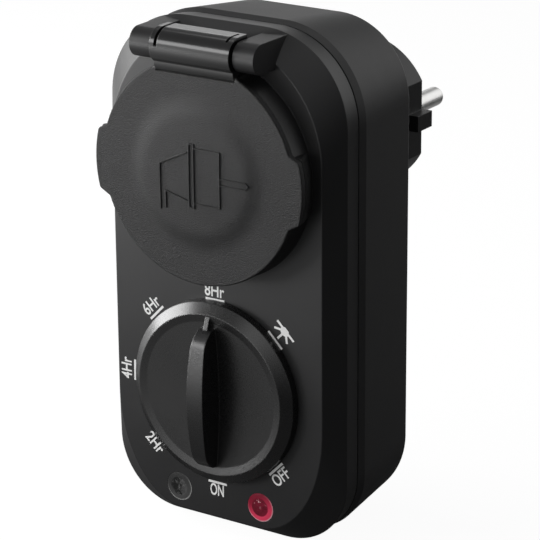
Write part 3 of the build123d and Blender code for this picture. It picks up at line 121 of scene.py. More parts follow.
class Value:
    """A socket that takes part in sums: each operator adds its own Math node."""

    def __init__(self, wiring, socket):
        self.wiring = wiring
        self.socket = socket

    def _sum(self, operation, *terms):
        return self.wiring.node(
            "ShaderNodeMath", {"operation": operation}, dict(enumerate(terms))
        )[0]

    def __add__(self, other):
        return self._sum("ADD", self, other)

    def __sub__(self, other):
        return self._sum("SUBTRACT", self, other)

    def __rsub__(self, other):
        return self._sum("SUBTRACT", other, self)

    def __mul__(self, other):
        return self._sum("MULTIPLY", self, other)

    def __truediv__(self, other):
        return self._sum("DIVIDE", self, other)

    def __pow__(self, other):
        return self._sum("POWER", self, other)

    __radd__ = __add__
    __rmul__ = __mul__


class Made:
    """A node that has been added; its outputs are read by name or number."""

    def __init__(self, wiring, node):
        self.wiring = wiring
        self.node = node

    def __getitem__(self, key):
        return Value(self.wiring, self.node.outputs[key])


class Wiring:
    """One node tree being laid out."""

    def __init__(self, tree):
        self.tree = tree
        tree.nodes.clear()

    def node(self, kind, settings=None, sockets=None):
        """Adds a node: its settings first, then the values or links of its sockets."""
        node = self.tree.nodes.new(kind)
        for name, setting in (settings or {}).items():
            setattr(node, name, setting)
        for key, value in (sockets or {}).items():
            if isinstance(value, Value):
                self.tree.links.new(value.socket, node.inputs[key])
            else:
                node.inputs[key].default_value = value
        return Made(self, node)


def ramp(wiring, value, start, end, low=0.0, high=1.0):
    """A soft step from one level to another."""
    return wiring.node(
        "ShaderNodeMapRange",
        {"interpolation_type": "SMOOTHSTEP"},
        {"Value": value, "From Min": start, "From Max": end, "To Min": low, "To Max": high},
    )[0]


def white_share(wiring, gloss_share):
    """How much white a ray sees: all of it from the camera and through glass, less in gloss."""
    rays = wiring.node("ShaderNodeLightPath")
    seen = rays["Is Camera Ray"] + rays["Is Transmission Ray"] + rays["Is Glossy Ray"] * gloss_share
    return wiring.node("ShaderNodeClamp", None, {0: seen})[0]


# The room is dark grey behind a white backdrop. Gloss sees the white at the left and behind,
# and the room at the right in front and, for the most part, overhead at the left.
room_colour = (0.06, 0.06, 0.062, 1)
white_colour = (1, 1, 1, 1)
overhead_dimming = 0.85
world = bpy.data.worlds.new("studio")
bpy.context.scene.world = world
world.use_nodes = True
sky = Wiring(world.node_tree)
ways = sky.node("ShaderNodeSeparateXYZ", None, {0: sky.node("ShaderNodeTexCoord")["Generated"]})
right_front = ramp(sky, ways[0], 0.1, 0.7) * ramp(sky, ways[1], 0.4, -0.2)
above_left = ramp(sky, ways[2], 0.0, 0.4) * ramp(sky, ways[0], 0.15, -0.15)
sky_gloss = (1 - right_front) * (1 - above_left * overhead_dimming)
room = sky.node("ShaderNodeBackground", None, {"Color": room_colour, "Strength": 1.0})
white = sky.node("ShaderNodeBackground", None, {"Color": white_colour, "Strength": 1.0})
backdrop = sky.node(
    "ShaderNodeMixShader", None, {0: white_share(sky, sky_gloss), 1: room[0], 2: white[0]}
)
sky.node("ShaderNodeOutputWorld", None, {"Surface": backdrop[0]})

# Gloss sees little of the sheet close by, where the switch shades it, and none at the right.
floor_level = cad_bounds[0].z
floor_reach = 3.0
floor_corners = ((-1, -1), (1, -1), (1, 1), (-1, 1))
sheet_colour = (0.12, 0.12, 0.12, 1)
sheet_glow = 0.95
shade_middle = (0, -50 * mm, floor_level)
shade_reach = (30 * mm, 360 * mm)
shaded_gloss = 0.08
gloss_limits = (120 * mm, -120 * mm)
floor_mesh = bpy.data.meshes.new("floor")
floor_mesh.from_pydata(
    [(x * floor_reach, y * floor_reach, floor_level) for x, y in floor_corners], [], [(0, 1, 2, 3)]
)
floor = bpy.data.objects.new("floor", floor_mesh)
bpy.context.scene.collection.objects.link(floor)
floor_paper = bpy.data.materials.new("floor paper")
floor_paper.use_nodes = True
paper = Wiring(floor_paper.node_tree)
spot = paper.node("ShaderNodeTexCoord")["Object"]
rightward = paper.node("ShaderNodeSeparateXYZ", None, {0: spot})[0]
away = paper.node(
    "ShaderNodeVectorMath", {"operation": "DISTANCE"}, {0: spot, 1: shade_middle}
)["Value"]
shade_fade = ramp(paper, away, *shade_reach, shaded_gloss, 1.0)
floor_gloss = ramp(paper, rightward, *gloss_limits) * shade_fade
sheet = paper.node("ShaderNodeBsdfDiffuse", None, {"Color": sheet_colour})
glow = paper.node("ShaderNodeEmission", None, {"Color": white_colour, "Strength": sheet_glow})
bright = paper.node("ShaderNodeAddShader", None, {0: sheet[0], 1: glow[0]})
underlay = paper.node(
    "ShaderNodeMixShader", None, {0: white_share(paper, floor_gloss), 1: sheet[0], 2: bright[0]}
)
paper.node("ShaderNodeOutputMaterial", None, {"Surface": underlay[0]})
floor_mesh.materials.append(floor_paper)

# ---------------------------------------------------------------- case shells
# Two shells moulded in black glass-filled nylon, with a fine even texture from the tool.
# The plug's body and the socket cup come from the same plastic, and the rear shell is duller.
case_colour = (0.0115, 0.0115, 0.012)
case_grain = 0.35 * mm
case_texture_depth = 0.01 * mm
case_roughness, rear_roughness = 0.42, 0.5
rear_gloss = 0.45


def surface(material):
    """Object coordinates of a material being laid out."""
    return material.node("ShaderNodeTexCoord")["Object"]


def noise(material, size, detail=2.0, roughness=0.5, offset=(0, 0, 0)):
    """Smooth noise with features of about one size."""
    place = material.node(
        "ShaderNodeMapping", {"vector_type": "POINT"}, {"Vector": surface(material), "Location": offset}
    )
    return material.node(
        "ShaderNodeTexNoise",
        None,
        {"Vector": place[0], "Scale": 1 / size, "Detail": detail, "Roughness": roughness},
    )["Fac"]


def mixed(material, share, first, second):
    """A colour between two colours."""
    return material.node(
        "ShaderNodeMix", {"data_type": "RGBA"}, {0: share, 6: first, 7: second}
    )[2]


def shade(colour, factor):
    """A colour with alpha, made lighter or darker."""
    return (*(min(1.0, c * factor) for c in colour), 1)


def moulded(name, colour, roughness, grain, depth, edge=0.25 * mm, gloss=0.5):
    """Moulded plastic: tool texture, cloudy sheen and softly rounded edges."""
    sheen_size = 14 * mm
    plastic = bpy.data.materials.new(name)
    plastic.use_nodes = True
    wiring = Wiring(plastic.node_tree)
    fine = noise(wiring, grain, 3.0, 0.6)
    cloudy = noise(wiring, sheen_size, 2.0, 0.5, (0.3, 0.1, 0.7))
    tint = mixed(wiring, fine * 0.5 + cloudy * 0.5, shade(colour, 0.8), shade(colour, 1.2))
    edges = wiring.node("ShaderNodeBevel", {"samples": 4}, {"Radius": edge})
    relief = wiring.node(
        "ShaderNodeBump",
        None,
        {"Strength": 0.5, "Distance": depth, "Height": fine, "Normal": edges[0]},
    )
    shader = wiring.node(
        "ShaderNodeBsdfPrincipled",
        None,
        {
            "Base Color": tint,
            "Roughness": roughness + (cloudy - 0.5) * 0.08 + (fine - 0.5) * 0.1,
            "Specular IOR Level": gloss,
            "Normal": relief[0],
        },
    )
    wiring.node("ShaderNodeOutputMaterial", None, {"Surface": shader[0]})
    return plastic


def dress(material, *names):
    """Gives CAD nodes their finish."""
    for name in names:
        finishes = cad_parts[name].data.materials
        finishes.clear()
        finishes.append(material)


case_plastic = moulded("case plastic", case_colour, case_roughness, case_grain, case_texture_depth)
dress(case_plastic, "front_housing", "plug_body", "socket_insert")
rear_plastic = moulded(
    "rear shell plastic",
    case_colour,
    rear_roughness,
    case_grain,
    case_texture_depth,
    gloss=rear_gloss,
)
dress(rear_plastic, "rear_housing")

# ---------------------------------------------------------------- seals
# Black silicone rubber, dull to the touch: the line that shows between the shells, the lid's
# gasket and the ring round the knob's stem. Each is moulded by itself and pressed in place.
rubber_colour = (0.012, 0.012, 0.012)
rubber = moulded("silicone rubber", rubber_colour, 0.75, grain=0.6 * mm, depth=0.02 * mm, gloss=0.2)
dress(rubber, "housing_seal", "lid_gasket", "knob_seal")

# ---------------------------------------------------------------- case screws
# Four zinc-plated thread-forming screws, driven from the rear through deep wells.
# Each has a pan head with a cross recess and a coarse thread.
screw_places = ((-21.0, 19.0), (21.0, 19.0), (-21.5, -77.0), (21.5, -77.0))
head_height = 2.0 * mm
screw_tip, screw_top = (corner.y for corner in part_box("housing_screws"))
screw_seat = screw_top - head_height


def metal(name, colour, roughness, brushing):
    """Bare or plated metal with fine drawing lines and small changes of sheen."""
    plating = bpy.data.materials.new(name)
    plating.use_nodes = True
    wiring = Wiring(plating.node_tree)
    lines = noise(wiring, brushing, 2.0, 0.5)
    patches = noise(wiring, 3 * mm, 3.0, 0.6, (0.2, 0.5, 0.1))
    relief = wiring.node(
        "ShaderNodeBump", None, {"Strength": 0.25, "Distance": 0.01 * mm, "Height": lines}
    )
    shader = wiring.node(
        "ShaderNodeBsdfPrincipled",
        None,
        {
            "Base Color": mixed(wiring, patches, shade(colour, 0.85), shade(colour, 1.1)),
            "Metallic": 1.0,
            "Roughness": roughness + (patches - 0.5) * 0.1,
            "Normal": relief[0],
        },
    )
    wiring.node("ShaderNodeOutputMaterial", None, {"Surface": shader[0]})
    return plating


def make_tree(name, sizes):
    """A Geometry Nodes tree with an input for each size; gives its wiring and its input node."""
    tree = bpy.data.node_groups.new(name, "GeometryNodeTree")
    tree.interface.new_socket("Geometry", in_out="INPUT", socket_type="NodeSocketGeometry")
    tree.interface.new_socket("Geometry", in_out="OUTPUT", socket_type="NodeSocketGeometry")
    for label, size in sizes.items():
        kind = {float: "Float", tuple: "Vector"}.get(type(size), "Material")
        tree.interface.new_socket(label, in_out="INPUT", socket_type="NodeSocket" + kind)
    wiring = Wiring(tree)
    return wiring, wiring.node("NodeGroupInput")


def grow(name, points, wiring, sizes):
    """Runs a tree on a set of points and gives the plain mesh object that comes out."""
    seed_mesh = bpy.data.meshes.new(name + "_points")
    seed_mesh.from_pydata([tuple(p) for p in points], [], [])
    seed = bpy.data.objects.new(name + "_points", seed_mesh)
    bpy.context.scene.collection.objects.link(seed)
    modifier = seed.modifiers.new("grow", "NODES")
    modifier.node_group = wiring.tree
    for item in wiring.tree.interface.items_tree:
        if item.in_out == "INPUT" and item.name in sizes:
            modifier[item.identifier] = sizes[item.name]
    graph = bpy.context.evaluated_depsgraph_get()
    mesh = bpy.data.meshes.new_from_object(seed.evaluated_get(graph), depsgraph=graph)
    seed.modifiers.remove(modifier)
    bpy.data.objects.remove(seed)
    mesh.name = name
    piece = bpy.data.objects.new(name, mesh)
    bpy.context.scene.collection.objects.link(piece)
    return piece


def moved(wiring, geometry, translation):
    """Geometry moved along by a vector."""
    return wiring.node(
        "GeometryNodeTransform", None, {"Geometry": geometry, "Translation": translation}
    )[0]


def vector(wiring, x=0.0, y=0.0, z=0.0):
    """Three numbers or sockets as one vector."""
    return wiring.node("ShaderNodeCombineXYZ", None, {0: x, 1: y, 2: z})[0]


def box(wiring, x, y, z):
    """A block about the origin."""
    return wiring.node("GeometryNodeMeshCube", None, {"Size": vector(wiring, x, y, z)})[0]


def rod(wiring, sides, radius, length):
    """A round bar about the origin, along Z."""
    sizes = {"Vertices": sides, "Radius": radius, "Depth": length}
    return wiring.node("GeometryNodeMeshCylinder", None, sizes)[0]


def joined(wiring, *parts):
    """Several geometries as one."""
    join = wiring.node("GeometryNodeJoinGeometry")
    for part in parts:
        wiring.tree.links.new(part.socket, join.node.inputs[0])
    return join[0]


def repeated(wiring, points, one, rotation, material):
    """Copies of one shape on all points, as plain geometry with its material; ends the tree."""
    sockets = {"Points": points, "Instance": one, "Rotation": rotation}
    copies = wiring.node("GeometryNodeInstanceOnPoints", None, sockets)[0]
    solid = wiring.node("GeometryNodeRealizeInstances", None, {0: copies})[0]
    sockets = {"Geometry": solid, "Material": material}
    finished = wiring.node("GeometryNodeSetMaterial", None, sockets)[0]
    wiring.node("NodeGroupOutput", None, {0: finished})


zinc_plate = metal("zinc plate", (0.55, 0.55, 0.56), roughness=0.3, brushing=0.15 * mm)
screw_sizes = {
    "Head Radius": 2.75 * mm,
    "Head Height": head_height,
    "Core Radius": 1.1 * mm,
    "Thread Radius": 1.4 * mm,
    "Pitch": 1.1 * mm,
    "Reach": screw_seat - screw_tip,
    "Recess Width": 0.8 * mm,
    "Recess Reach": 1.5 * mm,
    "Recess Depth": 1.2 * mm,
    "Plating": zinc_plate,
}
screws, screw = make_tree("pan head screws", screw_sizes)

# The head stands on the origin, with the cross recess cut down from its top.
recess_long, recess_tall = screw["Recess Reach"] * 2, screw["Recess Depth"] * 2
recess = joined(
    screws,
    box(screws, screw["Recess Width"], recess_long, recess_tall),
    box(screws, recess_long, screw["Recess Width"], recess_tall),
)
blank = rod(screws, 40, screw["Head Radius"], screw["Head Height"])
blank = moved(screws, blank, vector(screws, z=screw["Head Height"] * 0.5))
recess = moved(screws, recess, vector(screws, z=screw["Head Height"]))
head = screws.node("GeometryNodeMeshBoolean", {"operation": "DIFFERENCE"}, {0: blank, 1: recess})[0]

# The shank hangs below it: a plain core with a ridge wound round it.
core = rod(screws, 20, screw["Core Radius"], screw["Reach"])
core = moved(screws, core, vector(screws, z=screw["Reach"] * -0.5))
ridge_radius = (screw["Core Radius"] + screw["Thread Radius"]) * 0.5
helix = screws.node(
    "GeometryNodeCurveSpiral",
    None,
    {
        "Resolution": 16,
        "Rotations": screw["Reach"] / screw["Pitch"] - 1.0,
        "Start Radius": ridge_radius,
        "End Radius": ridge_radius,
        "Height": screw["Reach"] - screw["Pitch"],
    },
)[0]
ridge = screws.node(
    "GeometryNodeCurvePrimitiveCircle",
    None,
    {"Resolution": 4, "Radius": (screw["Thread Radius"] - screw["Core Radius"]) * 0.5},
)[0]
thread = screws.node(
    "GeometryNodeCurveToMesh", None, {"Curve": helix, "Profile Curve": ridge, "Fill Caps": True}
)[0]
thread = moved(screws, thread, vector(screws, z=screw["Reach"] * -1.0 + screw["Pitch"] * 0.5))
repeated(
    screws,
    screw["Geometry"],
    joined(screws, head, core, thread),
    (-pi / 2, 0, 0),
    screw["Plating"],
)
case_screws = grow(
    "case_screws", [(x * mm, screw_seat, z * mm) for x, z in screw_places], screws, screw_sizes
)
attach(case_screws, "housing")
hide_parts("housing_screws")
dress(zinc_plate, "carrier_screws", "board_screws")

# ---------------------------------------------------------------- lid
# One black moulding: a spark-textured disc with a soft dome, and a smoother, glossier neck and
# hinge barrel. The hinge pin runs through the barrel and the case's two lugs.
lid_colour = (0.008, 0.008, 0.0083)
lid_grain = 0.28 * mm
pit_depth = 0.2 * mm
neck_pits = 0.04
lid_roughness, neck_roughness = 0.47, 0.28
neck_start, neck_end = 23.9 * mm, 25.4 * mm

lid_plastic = bpy.data.materials.new("lid plastic")
lid_plastic.use_nodes = True
lid = Wiring(lid_plastic.node_tree)
height_up = lid.node("ShaderNodeSeparateXYZ", None, {0: surface(lid)})[2]
neck = ramp(lid, height_up, neck_start, neck_end)
pitted = noise(lid, lid_grain, 3.0, 0.65)
lid_cloud = noise(lid, 9 * mm, 2.0, 0.5, (0.4, 0.2, 0.9))
lid_tint = mixed(lid, pitted * 0.6 + lid_cloud * 0.4, shade(lid_colour, 0.4), shade(lid_colour, 1.7))
lid_edges = lid.node("ShaderNodeBevel", {"samples": 6}, {"Radius": 0.3 * mm})
lid_relief = lid.node(
    "ShaderNodeBump",
    None,
    {
        "Strength": 1.0,
        "Distance": pit_depth,
        "Height": pitted * (1 - neck * (1 - neck_pits)),
        "Normal": lid_edges[0],
    },
)
lid_shader = lid.node(
    "ShaderNodeBsdfPrincipled",
    None,
    {
        "Base Color": lid_tint,
        "Roughness": lid_roughness
        + neck * (neck_roughness - lid_roughness)
        + (pitted - 0.5) * (1 - neck) * 0.3,
        "Coat Weight": neck,
        "Coat Roughness": 0.14,
        "Specular IOR Level": 0.36,
        "Normal": lid_relief[0],
    },
)
lid.node("ShaderNodeOutputMaterial", None, {"Surface": lid_shader[0]})
dress(lid_plastic, "socket_lid")

# ---------------------------------------------------------------- plug sign on the lid
# Fine raised lines of the same plastic that show a plug from the side: the cable, the tapered
# grip, the flange, the body and one pin. They are cut into the mould and follow the dome.
line_width = 0.42 * mm
line_height = 0.24 * mm
sign_step = 0.6 * mm
ray_start_y = -120 * mm
sharpest_corner = 0.5
# The section of a line: how far across, in widths, and how far out of the lid, in heights.
line_section = ((-0.5, -0.3), (-0.3, 1.0), (0.3, 1.0), (0.5, -0.3))
# The lines themselves, each from corner to corner, in millimetres across and up.
sign_lines = (
    ((-9.2, -7.8), (-9.2, 3.05), (-1.7, 6.6)),
    ((-7.7, -7.3), (-7.7, -3.25), (-1.8, -4.7)),
    ((-1.2, -6.2), (-1.2, 8.6), (0.1, 8.6), (0.1, -6.2), (-1.2, -6.2)),
    ((0.1, 7.7), (7.0, 7.7), (7.0, -5.1), (0.1, -5.1)),
    ((7.0, 1.75), (13.7, 1.75), (14.4, 1.0), (13.7, 0.25), (7.0, 0.25)),
)
lid_mesh = bmesh.new()
lid_mesh.from_mesh(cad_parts["socket_lid"].data)
bmesh.ops.remove_doubles(lid_mesh, verts=lid_mesh.verts, dist=0.001 * mm)
lid_skin = BVHTree.FromBMesh(lid_mesh)
lid_mesh.free()
sign = bmesh.new()


def on_lid(point):
    """The place on the lid's front face that lies behind a point."""
    return lid_skin.ray_cast(Vector((point.x, ray_start_y, point.z)), Vector((0, 1, 0)))[0]


def stepped(corners):
    """A line's corners with points at short steps between them."""
    corners = [Vector((x, 0, z)) * mm for x, z in corners]
    points = []
    for start, end in zip(corners, corners[1:]):
        steps = max(1, round((end - start).length / sign_step))
        points += [start.lerp(end, i / steps) for i in range(steps)]
    return points + [corners[-1]]


def raise_line(corners):
    """One raised line on the lid, mitred at its corners and closed at its ends."""
    points = stepped(corners)
    ways = [(end - start).normalized() for start, end in zip(points, points[1:])]
    rings = []
    for point, way_in, way_out in zip(points, ways[:1] + ways, ways + ways[-1:]):
        along = (way_in + way_out).normalized()
        stretch = 1 / max(along.dot(way_out), sharpest_corner)
        across = Vector((along.z, 0, -along.x)) * stretch
        ring = []
        for side, lift in line_section:
            seat = on_lid(point + across * side * line_width)
            ring.append(sign.verts.new(seat - Vector((0, line_height * lift, 0))))
        rings.append(ring)
    for first, second in zip(rings, rings[1:]):
        for k in range(4):
            n = (k + 1) % 4
            sign.faces.new((first[k], first[n], second[n], second[k]))
    sign.faces.new(rings[0])
    sign.faces.new(rings[-1])


for line in sign_lines:
    raise_line(line)
bmesh.ops.recalc_face_normals(sign, faces=sign.faces)
sign_mesh = bpy.data.meshes.new("lid_sign")
sign.to_mesh(sign_mesh)
sign.free()
lid_sign = bpy.data.objects.new("lid_sign", sign_mesh)
bpy.context.scene.collection.objects.link(lid_sign)
sign_mesh.materials.append(lid_plastic)
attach(lid_sign, "lid")

# ---------------------------------------------------------------- hinge pin and springs
# A ground steel pin through both lugs, with the wound spring that shuts the lid on it. The
# shutter's small spring and the leaf that clicks from mark to mark are of the same hard steel.
spring_steel = metal("spring steel", (0.42, 0.42, 0.43), roughness=0.28, brushing=0.1 * mm)
dress(spring_steel, "hinge_pin", "lid_spring", "shutter_spring", "detent_leaf")

# ---------------------------------------------------------------- contacts and bars
# Stamped and folded brass strip: the socket's contacts, the bars to the board, the earth link
# and the wiper. The earth clips and the plug's turned pins are nickel plated.
brass = metal("stamped brass", (0.75, 0.58, 0.3), roughness=0.3, brushing=0.2 * mm)
dress(brass, "live_contact", "neutral_contact", "live_bar", "neutral_bar")
dress(brass, "earth_link", "switch_wiper")
nickel = metal("nickel plate", (0.96, 0.95, 0.92), roughness=0.38, brushing=0.3 * mm)
dress(nickel, "socket_earth_strap", "plug_earth_strap", "live_pin", "neutral_pin")

# ---------------------------------------------------------------- inner mouldings
# Heat-proof ivory plastic: the plate that holds the contacts, the shutter behind the pin holes,
# and the body, shaft and rotor of the selector. The plate is screwed down.
ivory = moulded("ivory plastic", (0.72, 0.7, 0.64), 0.45, grain=0.5 * mm, depth=0.02 * mm)
dress(ivory, "shutter", "contact_carrier", "switch_body", "switch_shaft", "switch_rotor")

# ---------------------------------------------------------------- dial marks
# White ink pressed on the front face: a short bar for each programme and its name, with half
# a sun for the light sensor's programme.
ink_rise = 0.04 * mm
ink_sink = 0.02 * mm
bar_length = 5.2 * mm
bar_width = 0.58 * mm
dial_z = -53.3 * mm
face_y = -64.3 * mm
bar_middles = (
    (-0.5, 22.75),
    (-17.0, 16.4),
    (-23.75, 0.7),
    (-0.5, -22.85),
    (15.9, -15.6),
    (15.95, 16.2),
)
bar_centre = (-0.4, 0.4)
letter_height = 3.0
letter_swell = 0.015
letter_extrusion = 0.05

ink = bpy.data.materials.new("white ink")
ink.use_nodes = True
print_ink = Wiring(ink.node_tree)
speckle = noise(print_ink, 0.25 * mm, 2.0, 0.6)
ink_relief = print_ink.node(
    "ShaderNodeBump", None, {"Strength": 0.2, "Distance": 0.01 * mm, "Height": speckle}
)
ink_shader = print_ink.node(
    "ShaderNodeBsdfPrincipled",
    None,
    {
        "Base Color": mixed(print_ink, speckle, (0.86, 0.86, 0.85, 1), (0.95, 0.95, 0.94, 1)),
        "Roughness": 0.45 + (speckle - 0.5) * 0.1,
        "Normal": ink_relief[0],
    },
)
print_ink.node("ShaderNodeOutputMaterial", None, {"Surface": ink_shader[0]})

# Each bar stands square to the line from the dial's middle.
ink_y = face_y - (ink_rise - ink_sink) / 2
bar_sizes = {
    "Length": bar_length,
    "Width": bar_width,
    "Thickness": ink_rise + ink_sink,
    "Centre": (bar_centre[0] * mm, ink_y, dial_z + bar_centre[1] * mm),
    "Ink": ink,
}
bars, bar = make_tree("dial bars", bar_sizes)
outward = bars.node(
    "ShaderNodeVectorMath",
    {"operation": "SUBTRACT"},
    {0: bars.node("GeometryNodeInputPosition")[0], 1: bar["Centre"]},
)[0]
turned_out = bars.node(
    "FunctionNodeAlignRotationToVector", {"axis": "X", "pivot_axis": "Y"}, {"Vector": outward}
)[0]
block = box(bars, bar["Width"], bar["Thickness"], bar["Length"])
repeated(bars, bar["Geometry"], block, turned_out, bar["Ink"])
dial_bars = grow(
    "dial_bars", [(x * mm, ink_y, dial_z + z * mm) for x, z in bar_middles], bars, bar_sizes
)
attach(dial_bars, "housing")

# For each word: its text, its middle across and above the dial's middle, its turn, its width.
dial_words = {
    "mark_8Hr": ("8Hr", -0.6, 24.95, 0, 5.4),
    "mark_6Hr": ("6Hr", -18.65, 18.05, 45, 5.4),
    "mark_4Hr": ("4Hr", -26.25, 0.8, 90, 5.4),
    "mark_2Hr": ("2Hr", -18.35, -16.65, -45, 5.4),
    "mark_ON": ("ON", -0.7, -24.75, 0, 3.8),
    "mark_OFF": ("OFF", 17.2, -17.2, 45, 5.3),
}
for name, (text, x, z, turn, width) in dial_words.items():
    outline = bpy.data.curves.new(name, "FONT")
    outline.body = text
    outline.offset = letter_swell
    outline.extrude = letter_extrusion
    writing = bpy.data.objects.new(name + "_outline", outline)
    bpy.context.scene.collection.objects.link(writing)
    graph = bpy.context.evaluated_depsgraph_get()
    mesh = bpy.data.meshes.new_from_object(writing.evaluated_get(graph), depsgraph=graph)
    bpy.data.objects.remove(writing)
    corners = [vertex.co for vertex in mesh.vertices]
    text_low = Vector([min(corner[i] for corner in corners) for i in range(3)])
    text_high = Vector([max(corner[i] for corner in corners) for i in range(3)])
    text_size = text_high - text_low
    mesh.transform(Matrix.Translation(-(text_low + text_high) / 2))
    stretch = (
        width * mm / text_size.x,
        letter_height * mm / text_size.y,
        (ink_rise + ink_sink) / text_size.z,
    )
    mesh.transform(Matrix.Diagonal((*stretch, 1)))
    stand = Matrix.Rotation(radians(90), 4, "X")
    spin = Matrix.Rotation(-radians(turn), 4, "Y")
    shift = Matrix.Translation((x * mm, ink_y, dial_z + z * mm))
    mesh.transform(shift @ spin @ stand)
    mesh.materials.clear()
    mesh.materials.append(ink)
    mark = bpy.data.objects.new(name, mesh)
    bpy.context.scene.collection.objects.link(mark)
    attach(mark, "housing")

# Half a sun below its horizon, with its rays towards the knob, in millimetres from its middle.
sun_x, sun_z = 18.75, 18.95
sun_turn = radians(-45)
sun_radius = 1.35
sun_steps = 16
horizon_half = 3.1
rise_foot, rise_top, rise_height = 1.0, 0.7, 0.3
ray_tilts = (-52, 0, 52)
ray_end = 3.05
stroke = 0.55
sun = bmesh.new()


def ink_patch(corners):
    """A flat patch of ink with the given outline, in the sun's own axes."""
    rings = []
    for y in (face_y - ink_rise, face_y + ink_sink):
        ring = []
        for u, v in corners:
            x = sun_x + u * cos(sun_turn) - v * sin(sun_turn)
            z = sun_z + u * sin(sun_turn) + v * cos(sun_turn)
            ring.append(sun.verts.new((x * mm, y, dial_z + z * mm)))
        rings.append(ring)
    front, back = rings
    sun.faces.new(front)
    sun.faces.new(back)
    for k in range(len(corners)):
        n = (k + 1) % len(corners)
        sun.faces.new((front[k], front[n], back[n], back[k]))


half = stroke / 2
dip = asin(half / sun_radius)
disc_angles = [pi + dip + (pi - 2 * dip) * i / sun_steps for i in range(sun_steps + 1)]
ink_patch(
    [(-horizon_half, -half)]
    + [(sun_radius * cos(angle), sun_radius * sin(angle)) for angle in disc_angles]
    + [(horizon_half, -half), (horizon_half, half)]
    + [(rise_foot, half), (rise_top, half + rise_height)]
    + [(-rise_top, half + rise_height), (-rise_foot, half)]
    + [(-horizon_half, half)]
)
for tilt in ray_tilts:
    angle = radians(270 + tilt)
    along = Vector((cos(angle), sin(angle)))
    across = Vector((-sin(angle), cos(angle))) * half
    near, far = along * sun_radius, along * ray_end
    ink_patch([near - across, far - across, far + across, near + across])
bmesh.ops.recalc_face_normals(sun, faces=sun.faces)
sun_mesh = bpy.data.meshes.new("mark_sun")
sun.to_mesh(sun_mesh)
sun.free()
sun_mesh.materials.append(ink)
mark_sun = bpy.data.objects.new("mark_sun", sun_mesh)
bpy.context.scene.collection.objects.link(mark_sun)
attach(mark_sun, "housing")

# ---------------------------------------------------------------- knob
# A hollow moulding in a finer, glossier plastic than the case, with a shallow dish, a grip bar
# and a pointer rib in one piece. It is pushed on the selector's shaft.
knob_plastic = moulded(
    "knob plastic",
    (0.005, 0.005, 0.0052),
    roughness=0.28,
    grain=0.25 * mm,
    depth=0.025 * mm,
    edge=0.35 * mm,
    gloss=1.0,
)
dress(knob_plastic, "knob")

# ---------------------------------------------------------------- board and components
# A brown paper-laminate board, screwed down behind the dial, with plain through-hole parts that
# are soldered to it by their leads: black cases, dipped ones, drawn cans and a ceramic fuse.
laminate = moulded("board laminate", (0.3, 0.22, 0.09), 0.5, grain=0.8 * mm, depth=0.02 * mm)
epoxy = moulded("black epoxy", (0.03, 0.03, 0.032), 0.5, grain=0.4 * mm, depth=0.02 * mm)
film_coat = moulded("red dip coat", (0.45, 0.06, 0.04), 0.3, grain=1.0 * mm, depth=0.03 * mm)
blue_coat = moulded("blue dip coat", (0.04, 0.1, 0.4), 0.3, grain=1.0 * mm, depth=0.03 * mm)
fuse_ceramic = moulded("fuse ceramic", (0.7, 0.68, 0.62), 0.3, grain=0.5 * mm, depth=0.01 * mm)
can_metal = metal("drawn can", (0.7, 0.7, 0.72), roughness=0.3, brushing=0.2 * mm)
dress(laminate, "circuit_board", "switch_base")
dress(epoxy, "relay", "microcontroller")
dress(film_coat, "film_capacitor")
dress(blue_coat, "varistor")
dress(fuse_ceramic, "fuse")
dress(can_metal, "electrolytic_capacitor", "crystal")

# ---------------------------------------------------------------- windows, lamp and sensor
# Two moulded lenses pressed into the face, each with a stepped rim: a smoky one over the light
# sensor and a red one over the lamp. Behind them stand the sensor and lamp. Light on the lenses
# is painted into their colour: painted light on the rim, a painted bright edge and painted glints.
window_x = 11.5 * mm
window_z = -79.6 * mm
window_reach = 3.2
step_start, step_end = 2.05, 2.4
# Where the painted bright edge on the lens's rim begins and ends, in millimetres from its middle.
painted_edge_start, painted_edge_end = 3.15, 3.4


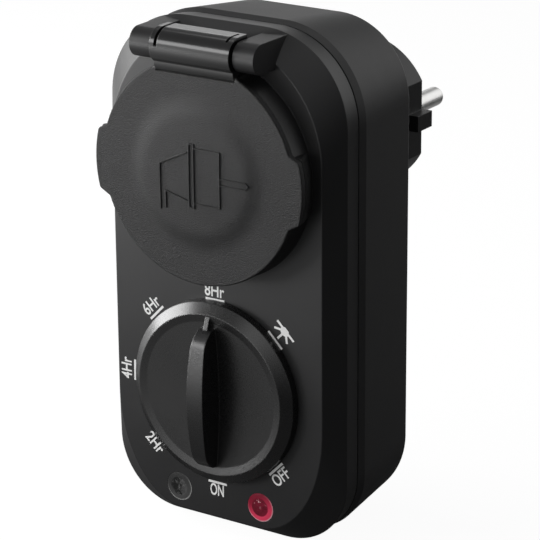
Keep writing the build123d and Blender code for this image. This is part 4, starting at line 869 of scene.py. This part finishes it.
def lens(name, middle_x, inner_swirl_and_lit_colours, rim_shaded_and_lit_colours, painted_highlight_colour):
    """Moulded lens with painted light: swirled disc lighter to the right, stepped rim lighter to the
    lower right, bright edge and glints.
    """
    plastic = bpy.data.materials.new(name)
    plastic.use_nodes = True
    wiring = Wiring(plastic.node_tree)
    spot = wiring.node("ShaderNodeSeparateXYZ", None, {0: surface(wiring)})
    across, up = (spot[0] - middle_x) / mm, (spot[2] - window_z) / mm
    radius = (across * across + up * up) ** 0.5
    # Painted light: the rim is painted lighter towards its lower right, as if lit from there.
    painted_light_lower_right = ramp(wiring, across * 0.6 - up, -window_reach, window_reach)
    swirl = noise(wiring, 0.9 * mm, 3.0, 0.6, (0.0, 0.3, 0.1))
    # The inner disc's swirl is its own cloudy tone, and it is also painted lighter towards the right.
    inner = mixed(wiring, ramp(wiring, swirl + across * 0.06, 0.4, 0.62), *inner_swirl_and_lit_colours)
    rim = mixed(wiring, painted_light_lower_right, *rim_shaded_and_lit_colours)
    step = ramp(wiring, radius, step_start, step_end)
    # Painted highlight: a bright edge round the rim's outside, at its lower right.
    edge = ramp(wiring, radius, painted_edge_start, painted_edge_end) * painted_light_lower_right
    # Painted glints: the brightest parts of the inner disc's swirl take the painted highlight colour.
    painted_glint = ramp(wiring, swirl, 0.66, 0.74) * (1 - step)
    colour = mixed(wiring, step, inner, rim)
    colour = mixed(wiring, edge * 0.8, colour, painted_highlight_colour)
    colour = mixed(wiring, painted_glint, colour, painted_highlight_colour)
    relief = wiring.node(
        "ShaderNodeBump",
        None,
        {"Strength": 0.6, "Distance": 0.15 * mm, "Height": step * 0.6 + swirl * 0.4},
    )
    shader = wiring.node(
        "ShaderNodeBsdfPrincipled",
        None,
        {
            "Base Color": colour,
            "Roughness": 0.16 + (swirl - 0.5) * 0.1,
            "Transmission Weight": 0.15,
            "IOR": 1.58,
            "Normal": relief[0],
        },
    )
    wiring.node("ShaderNodeOutputMaterial", None, {"Surface": shader[0]})
    return plastic


# Each rim pair goes from painted shade to painted light. The highlight colour is painted on bright
# edges and glints.
smoky_lens = lens(
    "smoky lens",
    -window_x,
    inner_swirl_and_lit_colours=((0.012, 0.012, 0.012, 1), (0.1, 0.1, 0.1, 1)),
    rim_shaded_and_lit_colours=((0.035, 0.035, 0.035, 1), (0.09, 0.09, 0.09, 1)),
    painted_highlight_colour=(0.45, 0.45, 0.44, 1),
)
red_lens = lens(
    "red lens",
    window_x,
    inner_swirl_and_lit_colours=((0.16, 0.008, 0.022, 1), (0.24, 0.012, 0.035, 1)),
    rim_shaded_and_lit_colours=((0.25, 0.008, 0.03, 1), (1.0, 0.07, 0.16, 1)),
    painted_highlight_colour=(0.9, 0.5, 0.55, 1),
)
dress(smoky_lens, "sensor_window", "light_sensor")
dress(red_lens, "indicator_window", "indicator_led")

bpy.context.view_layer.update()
